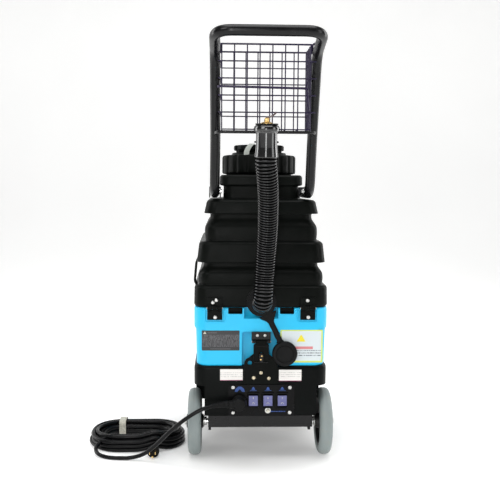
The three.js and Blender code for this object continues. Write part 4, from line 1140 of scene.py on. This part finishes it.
def switch_panel():
    """The panel with its rocker bezels, plain printed signs and screws."""
    outline = rounded_rectangle(PANEL_LOW.x, PANEL_HIGH.x, PANEL_LOW.z, PANEL_HIGH.z, 6)
    plate = outlined("panel_plate", outline, PANEL_Y, PANEL_HIGH.y, "panel_black", edge=0)
    cutters = []
    for x in ROCKERS.values():
        cutters.append(block("window", x - WINDOW_X, x + WINDOW_X, PANEL_Y - 5, PANEL_HIGH.y + 3,
                             ROCKER_Z - WINDOW_Z, ROCKER_Z + WINDOW_Z, "panel_black", edge=0))
    for x, z, r in ((INLET.x, INLET.z, 14.4), (BREAKER.x, BREAKER.z, 4.2)):
        cutters.append(round_bar("hole", r, 0, 14, (x, PANEL_HIGH.y + 5, z), BACK, "panel_black"))
    plate = bevelled(carved(plate, *cutters), 0.5, 2, 40)
    bezels = []
    for x in ROCKERS.values():
        outer = rounded_rectangle(x - 14, x + 14, ROCKER_Z - 19, ROCKER_Z + 19, 2)
        inner = rounded_rectangle(x - WINDOW_X, x + WINDOW_X, ROCKER_Z - WINDOW_Z, ROCKER_Z + WINDOW_Z, 0.8)
        slope = rounded_rectangle(x - 12.4, x + 12.4, ROCKER_Z - 17, ROCKER_Z + 17, 1.6)
        rings = [(outer, PANEL_Y + 0.2), (outer, PANEL_Y - 0.9), (slope, PANEL_Y - 2), (inner, PANEL_Y - 1.5),
                 (inner, PANEL_Y + 0.2)]
        verts = [(px, y, pz) for loop, y in rings for px, pz in loop]
        faces = tube_faces(len(rings), len(outer), closed=True)
        bezels.append(bevelled(from_data("bezel", verts, faces, "panel_black", smooth=False), 0.3, 2, 20))
    panel = joined("panel_moulded", plate, *bezels)
    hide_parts("switch_panel")
    place(panel, "frame")
    marks = []
    for x in ROCKERS.values():
        top = PANEL_HIGH.z - 5.4
        marks.append(glyph([(x - 4.2, top - 6.2), (x + 4.2, top - 6.2), (x + 1.2, top), (x - 1.2, top)]))
        marks.append(glyph([(x - 7.5, top - 8.6), (x + 7.5, top - 8.6), (x + 7.5, top - 7.6),
                            (x - 7.5, top - 7.6)]))
    x, top = INLET.x + 1, PANEL_HIGH.z - 4.2
    marks.append(glyph([(x - 11, top - 12), (x - 5.5, top - 12), (x, top - 5.5), (x + 5.5, top - 12),
                        (x + 11, top - 12), (x + 9.5, top - 5), (x + 3, top), (x - 3, top),
                        (x - 9.5, top - 5)]))
    for i in range(9):
        x0 = BREAKER.x + 6.5 + i * 3.7
        marks.append(glyph(rounded_rectangle(x0, x0 + 2.9, BREAKER.z - 3.6, BREAKER.z - 1.5, 0.5, 2)))
    place(joined("panel_marks", *marks), "frame")
    screws = [screw((x, PANEL_Y, z), BACK, 4.1, "zinc", turn)
              for x, z, turn in ((PANEL_LOW.x + 10.5, PANEL_HIGH.z - 6.5, 0.5),
                                 (PANEL_HIGH.x - 10.5, PANEL_HIGH.z - 6.5, 1.1),
                                 (PANEL_LOW.x + 10.5, PANEL_LOW.z + 8, 0.2),
                                 (PANEL_HIGH.x - 10.5, PANEL_LOW.z + 8, 0.8))]
    place(joined("panel_screws", *screws), "frame")


def rockers():
    """The three rocker switches and the breaker button."""
    for name, x in ROCKERS.items():
        low, high = node_box("rocker_" + name)
        side = [(high.y, low.z + 4), (PANEL_Y - 2, low.z + 0.6), (PANEL_Y - 5.6, low.z + 0.9),
                (PANEL_Y - 5.9, low.z + 2), (PANEL_Y - 4.6, low.z + 8), (PANEL_Y - 3.7, ROCKER_Z - 1),
                (PANEL_Y - 3.4, ROCKER_Z + 1), (PANEL_Y - 2.7, high.z - 6), (PANEL_Y - 2.3, high.z - 1),
                (high.y, high.z - 4)]
        cap = bevelled(across_x("cap", side, low.x, high.x, "switch_blue"), 0.7, 3, 25)
        mark = block("mark", x - 0.6, x + 0.6, PANEL_Y - 3.1, PANEL_Y - 2.2, high.z - 8.4, high.z - 4,
                     "tag_pale", 0.1)
        ring = turned("mark", [(2.0, 0), (2.7, 0), (2.7, 0.5), (2.0, 0.5)], (x, PANEL_Y - 4.75, low.z + 6),
                      BACK, "tag_pale", segments=24, closed=True)
        made = joined("rocker_cap_" + name, cap, mark, ring)
        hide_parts("rocker_" + name)
        place(made, "rocker_" + name)
    button = rounded_turned("breaker_cap", [(TIP, 0), (3.6, 0), (3.6, 7.6), (2.6, 8.3), (TIP, 8.5)],
                            (BREAKER.x, PANEL_Y + 2.5, BREAKER.z), BACK, "tag_pale", edge=0.5, segments=32)
    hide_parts("breaker_button")
    place(button, "breaker")
    nut = rounded_turned("breaker_nut", [(4.3, 0), (6.6, 0), (6.4, 1.6), (4.3, 1.8)],
                         (BREAKER.x, PANEL_Y, BREAKER.z), BACK, "zinc", edge=0.3, segments=32, closed=True)
    place(nut, "frame")


def power_inlet():
    """The inlet in the panel and the cord's angled connector in it."""
    socket = rounded_turned("inlet_body", [
        (TIP, -14), (14, -14), (14, 0.4), (16.8, 0.4), (16.8, 2.4), (16, 3.4), (TIP, 3.4)],
        (INLET.x, PANEL_Y, INLET.z), BACK, "panel_black", edge=0.6, segments=56)
    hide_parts("power_inlet")
    place(socket, "frame")
    high = node_box("cord_connector")[1]
    body = rounded_turned("body", [(TIP, 0), (15.4, 0), (16, 2), (16, 12), (15, 20), (12.5, 26.5), (TIP, 28)],
                          (INLET.x, high.y, INLET.z), BACK, "black_rubber", edge=1.8, segments=56)
    ribs = [rounded_turned("rib", [(14, 3 + 4 * i), (16.7, 3 + 4 * i), (16.7, 5 + 4 * i), (14, 5 + 4 * i)],
                           (INLET.x, high.y, INLET.z), BACK, "black_rubber", edge=0.7, segments=56,
                           closed=True)
            for i in range(3)]
    barrel = rounded_turned("barrel", [(TIP, 0), (9, 0), (9, 22), (8.4, 24.2), (TIP, 24.4)],
                            (INLET.x + 0.5, LEAD[0][1], INLET.z), (-1, 0, 0), "black_rubber", edge=1.2,
                            segments=40)
    made = joined("connector_moulded", body, *ribs, barrel)
    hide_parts("cord_connector")
    place(made, "frame")


switch_panel()
rockers()
power_inlet()


# ------------------------------------------------------------------ solution tank
HINGE_X = abs(middle("hinge_upper_left").x)
HINGE_Y, HINGE_Z = -96.0, 350.0
FILL = middle("solution_fill_cap")
RECESS_HALF = 42.5
RECESS_TOP = 296.0


def solution_tank():
    """The blue tank, with the hasp's recess, two notches and a raised rib round each hinge."""
    y0, y1 = BLUE_LOW.y, BLUE_HIGH.y
    z0, z1 = BLUE_LOW.z, BLUE_HIGH.z
    half = BLUE_HIGH.x
    shell = lofted("blue_shell", [
        (z0, 141, y0 + 3.4, y1 - 3.4, 24), (z0 + 3.4, 143.8, y0 + 0.4, y1 - 0.4, 26),
        (262, 144.7, y0, y1, 26), (298.5, 145.7, y0, y1, 26), (304.5, half - 0.2, y0, y1, 28),
        (z1 - 5, half, y0, y1, 28), (z1 - 1.4, half - 0.8, y0 + 0.8, y1 - 0.8, 27),
        (z1, half - 2.4, y0 + 2.4, y1 - 2.4, 26),
    ], "blue_moulded")
    recess = outlined("recess", rounded_rectangle(-RECESS_HALF, RECESS_HALF, z0 - 30, RECESS_TOP, 5), y0 - 5,
                      y0 + 15, "blue_moulded", edge=0)
    scallop = round_bar("scallop", 26, -38, 38, (0, HINGE_Y, HINGE_Z), (1, 0, 0), "blue_moulded", 72)
    cutters = [recess, scallop]
    for _, side in SIDES:
        a, b = sorted((side * 41.5, side * 73.5))
        cutters.append(outlined("notch", rounded_rectangle(a, b, 335.5, z1 + 20, 2.5), y0 - 5, y0 + 16,
                                "blue_moulded", edge=0))
        cutters.append(round_bar("seat", 6, -18, 18, (side * HINGE_X, HINGE_Y, HINGE_Z), (1, 0, 0),
                                 "blue_moulded"))
    cutters.append(round_bar("mouth", 38, 0, 20, (FILL.x, FILL.y, z1 - 15), (0, 0, 1), "blue_moulded", 72))
    carved(shell, *cutters)
    bevelled(shell, 1.5, 3, 35)
    apply_modifiers(shell)
    ribs = []
    for _, side in SIDES:
        x = side * HINGE_X
        line = route([(x - 21.5, y0 - 0.2, z1 - 4, 0), (x - 21.5, y0 - 0.2, 317.5, 5),
                      (x + 21.5, y0 - 0.2, 317.5, 5), (x + 21.5, y0 - 0.2, z1 - 4, 0)])
        ribs.append(meshed(curve("rib", [line], 2.0, "blue_moulded", resolution=5)))
    tank = joined("blue_tank", shell, *ribs)
    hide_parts("solution_tank")
    place(tank, "frame")
    # painted shade: black sheets on the back wall and floor of each notch stand in for the shade inside it
    floor_y = y0 + 15
    notch_shade_sheets = []
    for _, side in SIDES:
        a, b = sorted((side * 42, side * 73))
        notch_shade_sheets.append(block("shade_sheet", a, b, floor_y - 3, floor_y - 1.4, 336, z1 - 1.5, "black_moulded", 0.5))
        notch_shade_sheets.append(block("shade_sheet", a, b, y0 + 1.4, floor_y - 1, 336, 337.4, "black_moulded", 0.4))
    place(joined("notch_painted_shade", *notch_shade_sheets), "frame")


def fill_cap():
    """The fluted cap in the top of the solution tank."""
    top = node_box("solution_fill_cap")[1].z
    cap = fluted("fill_cap_moulded", FILL.y, [
        (top - 13, 36, 0), (top - 4.4, 36.6, 1.6), (top - 1.6, 35, 1.2), (top - 0.6, 32.5, 0),
        (top - 1.4, 28, 0), (top - 2.4, 24, 0)], 24, "black_moulded")
    cap.data.transform(Matrix.Translation((FILL.x * S, 0, 0)))
    grip = block("grip", FILL.x - 26, FILL.x + 26, FILL.y - 3.5, FILL.y + 3.5, top - 4, top, "black_moulded",
                 1.4, 3)
    made = joined("fill_cap_moulded", cap, grip)
    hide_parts("solution_fill_cap")
    place(made, "fill_cap")


solution_tank()
fill_cap()
dressed(["pickup_filter"], "brass", 0.6)


# ------------------------------------------------------------------ hinges and hasp
def hinges():
    """The arches, screws and pin ends of the two rear hinges."""
    for name, side in SIDES:
        x = side * HINGE_X
        dressed(["hinge_lower_" + name, "hinge_upper_" + name], "black_moulded", 0.55)
        face = BLUE_LOW.y - CLEAR - 3.2
        arch = curve("hinge_arch_" + name, [smooth_route([
            (x - 12.5, face + 0.2, 340.6), (x - 7, face - 0.6, 343.4), (x - 3.2, face - 2.0, 346.4),
            (x, face - 3.2, 347.6), (x + 3.2, face - 2.0, 346.4), (x + 7, face - 0.6, 343.4),
            (x + 12.5, face + 0.2, 340.6)], 6)], 1.2, "black_moulded")
        place(arch, "frame")
        place(joined("hinge_screw_lower_" + name, screw((x + 1, face, 329), BACK, 4.2, "zinc", 0.7)), "frame")
        upper_face = REAR - CLEAR - 3.2
        spots = ((x - 4, 361.5), (x + 3.5, 367)) if side < 0 else ((x - 1, 366.4),)
        heads = [screw((px, upper_face, pz), BACK, 4.0, "zinc", 0.3 + i) for i, (px, pz) in enumerate(spots)]
        place(joined("hinge_screws_upper_" + name, *heads), "recovery")
        ends = [rounded_turned("end", [(TIP, 0), (2.7, 0), (2.3, 1.1), (TIP, 1.3)],
                               (x + s * 16.5, HINGE_Y, HINGE_Z), (s, 0, 0), "zinc", edge=0.3, segments=20)
                for s in (-1, 1)]
        place(joined("hinge_pin_" + name, *ends), "frame")


def hasp():
    """The screws, pin ends, rivets and folds of the latch that holds the tank down."""
    dressed(["hasp_plate", "hasp_leaf"], "black_moulded", 0.5)
    dressed(["hasp_block", "turn_knob"], "black_paint", 0.5)
    plate_low = node_box("hasp_plate")[0]
    pin_z = 275.0
    screws = [screw((dx, REAR - 2.6, pin_z + 13), BACK, 3.4, "zinc", turn)
              for dx, turn in ((-8.4, 0.6), (8.4, 1.2))]
    place(joined("hasp_block_screws", *screws), "frame")
    ends = [rounded_turned("end", [(TIP, 0), (2.6, 0), (2.2, 1), (TIP, 1.2)], (s * 20.4, REAR - 6.4, pin_z),
                           (s, 0, 0), "zinc", edge=0.3, segments=20) for s in (-1, 1)]
    place(joined("hasp_pin_ends", *ends), "frame")
    spots = ((0, 204, 1.4), (-16.4, 192.6, 0.2), (17.6, 191.4, 0.9))
    screws = [screw((x, plate_low.y, z), BACK, 4.0, "pale_brass", turn) for x, z, turn in spots]
    place(joined("hasp_plate_screws", *screws), "frame")
    knob = middle("turn_knob")
    knob_face = node_box("turn_knob")[0].y
    rivets = [rounded_turned("rivet", [(TIP, 0), (1.9, 0), (1.5, 0.8), (TIP, 1)],
                             (dx, knob_face, knob.z + dz), BACK, "brass", edge=0.3,
                             segments=20) for dx, dz in ((1.0, 4.4), (-1.0, -3.6))]
    place(joined("knob_rivets", *rivets), "turn_knob")
    leaf_face = node_box("hasp_leaf")[0].y
    folds = curve("hasp_leaf_folds", [[Vector((-15.5, leaf_face + 0.3, z)),
                                       Vector((15.5, leaf_face + 0.3, z))]
                                      for z in (266, 229)], 0.8, "black_paint")
    place(folds, "hasp_leaf")


# ------------------------------------------------------------------ tethered port cap
def port_cap():
    """The rubber cap on its strap."""
    center = middle("port_cap")
    back_y = node_box("port_cap")[1].y
    r = 28.0
    cap = rounded_turned("port_cap_moulded", [
        (TIP, 0), (r - 3, 0), (r - 1.6, 1.6), (r - 1.6, 4), (r, 5), (r, 11.5), (r - 2.2, 14.2), (r - 8, 15),
        (r - 9, 13.6), (TIP, 13.2)], (center.x, back_y, center.z), BACK, "black_rubber", edge=1.3,
        segments=72)
    rim = rounded_turned("rim", [(16.8, 12.4), (18.4, 12.4), (18.4, 14.4), (16.8, 14.4)],
                         (center.x, back_y, center.z), BACK, "black_rubber", edge=0.7, segments=64,
                         closed=True)
    cap = joined("port_cap_moulded", cap, rim)
    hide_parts("port_cap")
    place(cap, "frame")
    y = BLUE_LOW.y - CLEAR - 1.7
    spine = smooth_route([(14, y - 1.2, 336), (19, y, 325), (24.2, y, 312), (31, y, 299), (35.5, y - 1, 288),
                          (center.x - 11.5, y - 2, 279), (center.x - 9.5, y - 3.2, 273)], 8)
    verts = []
    count = len(spine)
    for i, p in enumerate(spine):
        ahead = spine[min(i + 1, count - 1)] - spine[max(i - 1, 0)]
        across = Vector((-ahead.z, 0, ahead.x)).normalized()
        share = i / (count - 1)
        half = 6.2 + 14 * (1 - smoothstep(0, 0.3, share)) + 2.5 * smoothstep(0.85, 1, share)
        for s, d in ((-1, 1.4), (-1, -0.6), (-0.82, -1.5), (0.82, -1.5), (1, -0.6), (1, 1.4)):
            verts.append(p + across * (s * half) + Vector((0, d, 0)))
    strap = from_data("port_cap_strap_moulded", verts, tube_faces(count, 6), "black_rubber")
    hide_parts("port_cap_strap")
    place(strap, "frame")


hinges()
hasp()
port_cap()


# ------------------------------------------------------------------ labels
def labels():
    """Plain labels on the blue tank and two small plates on the base."""
    face = BLUE_LOW.y
    dark = outlined("label_dark", rounded_rectangle(-132, -48, 253.5, 298.5, 1.5), face - 0.35, face + 0.2,
                    "label_dark", edge=0.1)
    rim_low = [outlined("tick", [(-129, 291), (-121.5, 291), (-125.2, 297)], face - 0.5, face - 0.3,
                        "tag_pale", edge=0)]
    for x0, x1, z0, z1 in ((-119, -98, 292.2, 295.4), (-113, -68, 256, 258.6)):
        rim_low.append(outlined("bar", rounded_rectangle(x0, x1, z0, z1, 0.6, 2), face - 0.5, face - 0.3,
                                "label_dark_title", edge=0))
    place(joined("label_left", dark, *rim_low), "frame")
    border = outlined("label_border", rounded_rectangle(43, 138, 226, 300, 1.5), face - 0.3, face + 0.2,
                      "label_lime", edge=0.1)
    sheet = outlined("label_sheet", rounded_rectangle(46, 134.6, 230, 297.4, 1), face - 0.45, face - 0.2,
                     "label_light", edge=0)
    mark = outlined("label_mark", [(79.5, 273.5), (99.5, 273.5), (90.5, 288.5), (88.5, 288.5)], face - 0.6,
                    face - 0.4, "label_yellow", edge=0)
    red = outlined("label_red", rounded_rectangle(66, 116, 256.5, 262.5, 0.8, 2), face - 0.6, face - 0.4,
                   "label_red_title", edge=0)
    place(joined("label_right", border, sheet, mark, red), "frame")
    plates = []
    for _, side in SIDES:
        a, b = sorted((side * 40.5, side * 91))
        top = 211.5 if side < 0 else 210
        plates.append(outlined("plate", rounded_rectangle(a, b, top - 25.5, top, 0.8), REAR - 0.4, REAR + 0.2,
                               "label_plate", edge=0.1))
        plates.append(outlined("edge", rounded_rectangle(a + 0.4, b - 0.4, top - 25.4, top - 24.4, 0.3, 2),
                               REAR - 0.5, REAR - 0.3, "label_magenta", edge=0))
    place(joined("base_plates", *plates), "frame")


labels()


# ------------------------------------------------------------------ front fittings, casters and inside parts
def front_fittings():
    """The port and coupler at the front, the inside parts, and the casters."""
    dressed(["vacuum_inlet"], "black_moulded", 0.8)
    dressed(["solution_coupler"], "brass", 0.6)
    dressed(["caster_fork_left", "caster_fork_right"], "zinc", 0.5)
    dressed(["vacuum_motor"], "zinc", 1.4)
    dressed(["solution_pump"], "black_paint", 1.2)
    dressed(["inline_heater"], "brass", 1.2)
    dressed(["vacuum_standpipe"], "tag_pale", 0.7)
    dressed(["shutoff_float"], "label_yellow", 1.0)
    for name, side in SIDES:
        low, high = node_box("caster_wheel_" + name)
        half = (high.x - low.x) / 2
        r = (high.z - low.z) / 2
        center = (low + high) / 2
        bore = 4.4
        wheel = rounded_turned("caster_tyre_" + name, [
            (bore, -half), (8, -half), (10, -half + 2), (r - 7, -half + 2), (r - 5, -half + 0.6),
            (r - 1.5, -half + 1.4), (r, -half + 5), (r, half - 5), (r - 1.5, half - 1.4), (r - 5, half - 0.6),
            (r - 7, half - 2), (10, half - 2), (8, half), (bore, half)], center, (side, 0, 0), "tyre_grey",
            edge=1.0, segments=64, closed=True)
        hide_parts("caster_wheel_" + name)
        place(wheel, "caster_wheel_" + name)


front_fittings()


# ------------------------------------------------------------------ studio
LIGHTS = (
    ("key", (-1.9, -2.6, 2.3), (0, 0, 0.55), (1.5, 1.5), 34),
    ("front", (-0.33, -2.5, 0.85), (0, 0, 0.6), (0.3, 1.7), 16),
    ("fill", (2.6, -1.3, 1.2), (0, 0, 0.5), (1.0, 2.0), 20),
    ("top", (0.1, -0.5, 3.0), (0, 0, 0.3), (2.2, 2.2), 60),
    ("left_strip", (-2.2, 0.6, 1.2), (0, 0, 0.6), (0.7, 2.2), 25),
    ("right_strip", (2.2, 0.9, 1.2), (0, 0, 0.6), (0.7, 2.2), 25),
)


def floor_glow_with_painted_shadow():
    """The floor glows faintly, and less under the machine, where the dimmer glow is a painted shadow."""
    tree = MATERIALS["floor"].node_tree
    shader = next(n for n in tree.nodes if n.type == "BSDF_PRINCIPLED")
    shader.inputs["Emission Color"].default_value = (1, 1, 1, 1)
    place_node = tree.nodes.new("ShaderNodeTexCoord")
    around = tree.nodes.new("ShaderNodeMapping")
    around.inputs["Location"].default_value = (0.05, -0.1, 0.0)
    around.inputs["Scale"].default_value = (1.15, 0.95, 0.0)
    tree.links.new(place_node.outputs["Object"], around.inputs["Vector"])
    far = tree.nodes.new("ShaderNodeVectorMath")
    far.operation = "LENGTH"
    tree.links.new(around.outputs["Vector"], far.inputs[0])
    # painted shadow: the glow drops from 0.5 far out to 0.14 under the machine
    painted_shadow_glow = tree.nodes.new("ShaderNodeMapRange")
    painted_shadow_glow.interpolation_type = "SMOOTHSTEP"
    for name, value in (("From Min", 0.08), ("From Max", 0.55), ("To Min", 0.14), ("To Max", 0.5)):
        painted_shadow_glow.inputs[name].default_value = value
    tree.links.new(far.outputs["Value"], painted_shadow_glow.inputs["Value"])
    tree.links.new(painted_shadow_glow.outputs["Result"], shader.inputs["Emission Strength"])


def studio():
    """A pale floor that curves up into the backdrop, and soft lights."""
    ground = -0.05
    profile = route([(0, -9000, ground, 0), (0, 4200, ground, 1800), (0, 5600, 9000, 0)], 16)
    verts = [(x, p.y, p.z) for p in profile for x in (-9000, 9000)]
    faces = [(2 * i, 2 * i + 1, 2 * i + 3, 2 * i + 2) for i in range(len(profile) - 1)]
    from_data("studio_floor", verts, faces, "floor")
    floor_glow_with_painted_shadow()
    for name, position, aim, size, power in LIGHTS:
        data = bpy.data.lights.new(name, "AREA")
        data.shape = "RECTANGLE"
        data.size, data.size_y = size
        data.energy = power
        lamp = bpy.data.objects.new(name, data)
        bpy.context.scene.collection.objects.link(lamp)
        lamp.location = Vector(position)
        lamp.rotation_euler = (Vector(aim) - Vector(position)).to_track_quat("-Z", "Y").to_euler()
    world = bpy.data.worlds.new("studio")
    bpy.context.scene.world = world
    world.use_nodes = True
    back = next(n for n in world.node_tree.nodes if n.type == "BACKGROUND")
    back.inputs["Color"].default_value = (1, 1, 1, 1)
    back.inputs["Strength"].default_value = 0.16
    bpy.context.scene.view_settings.view_transform = "Standard"


studio()
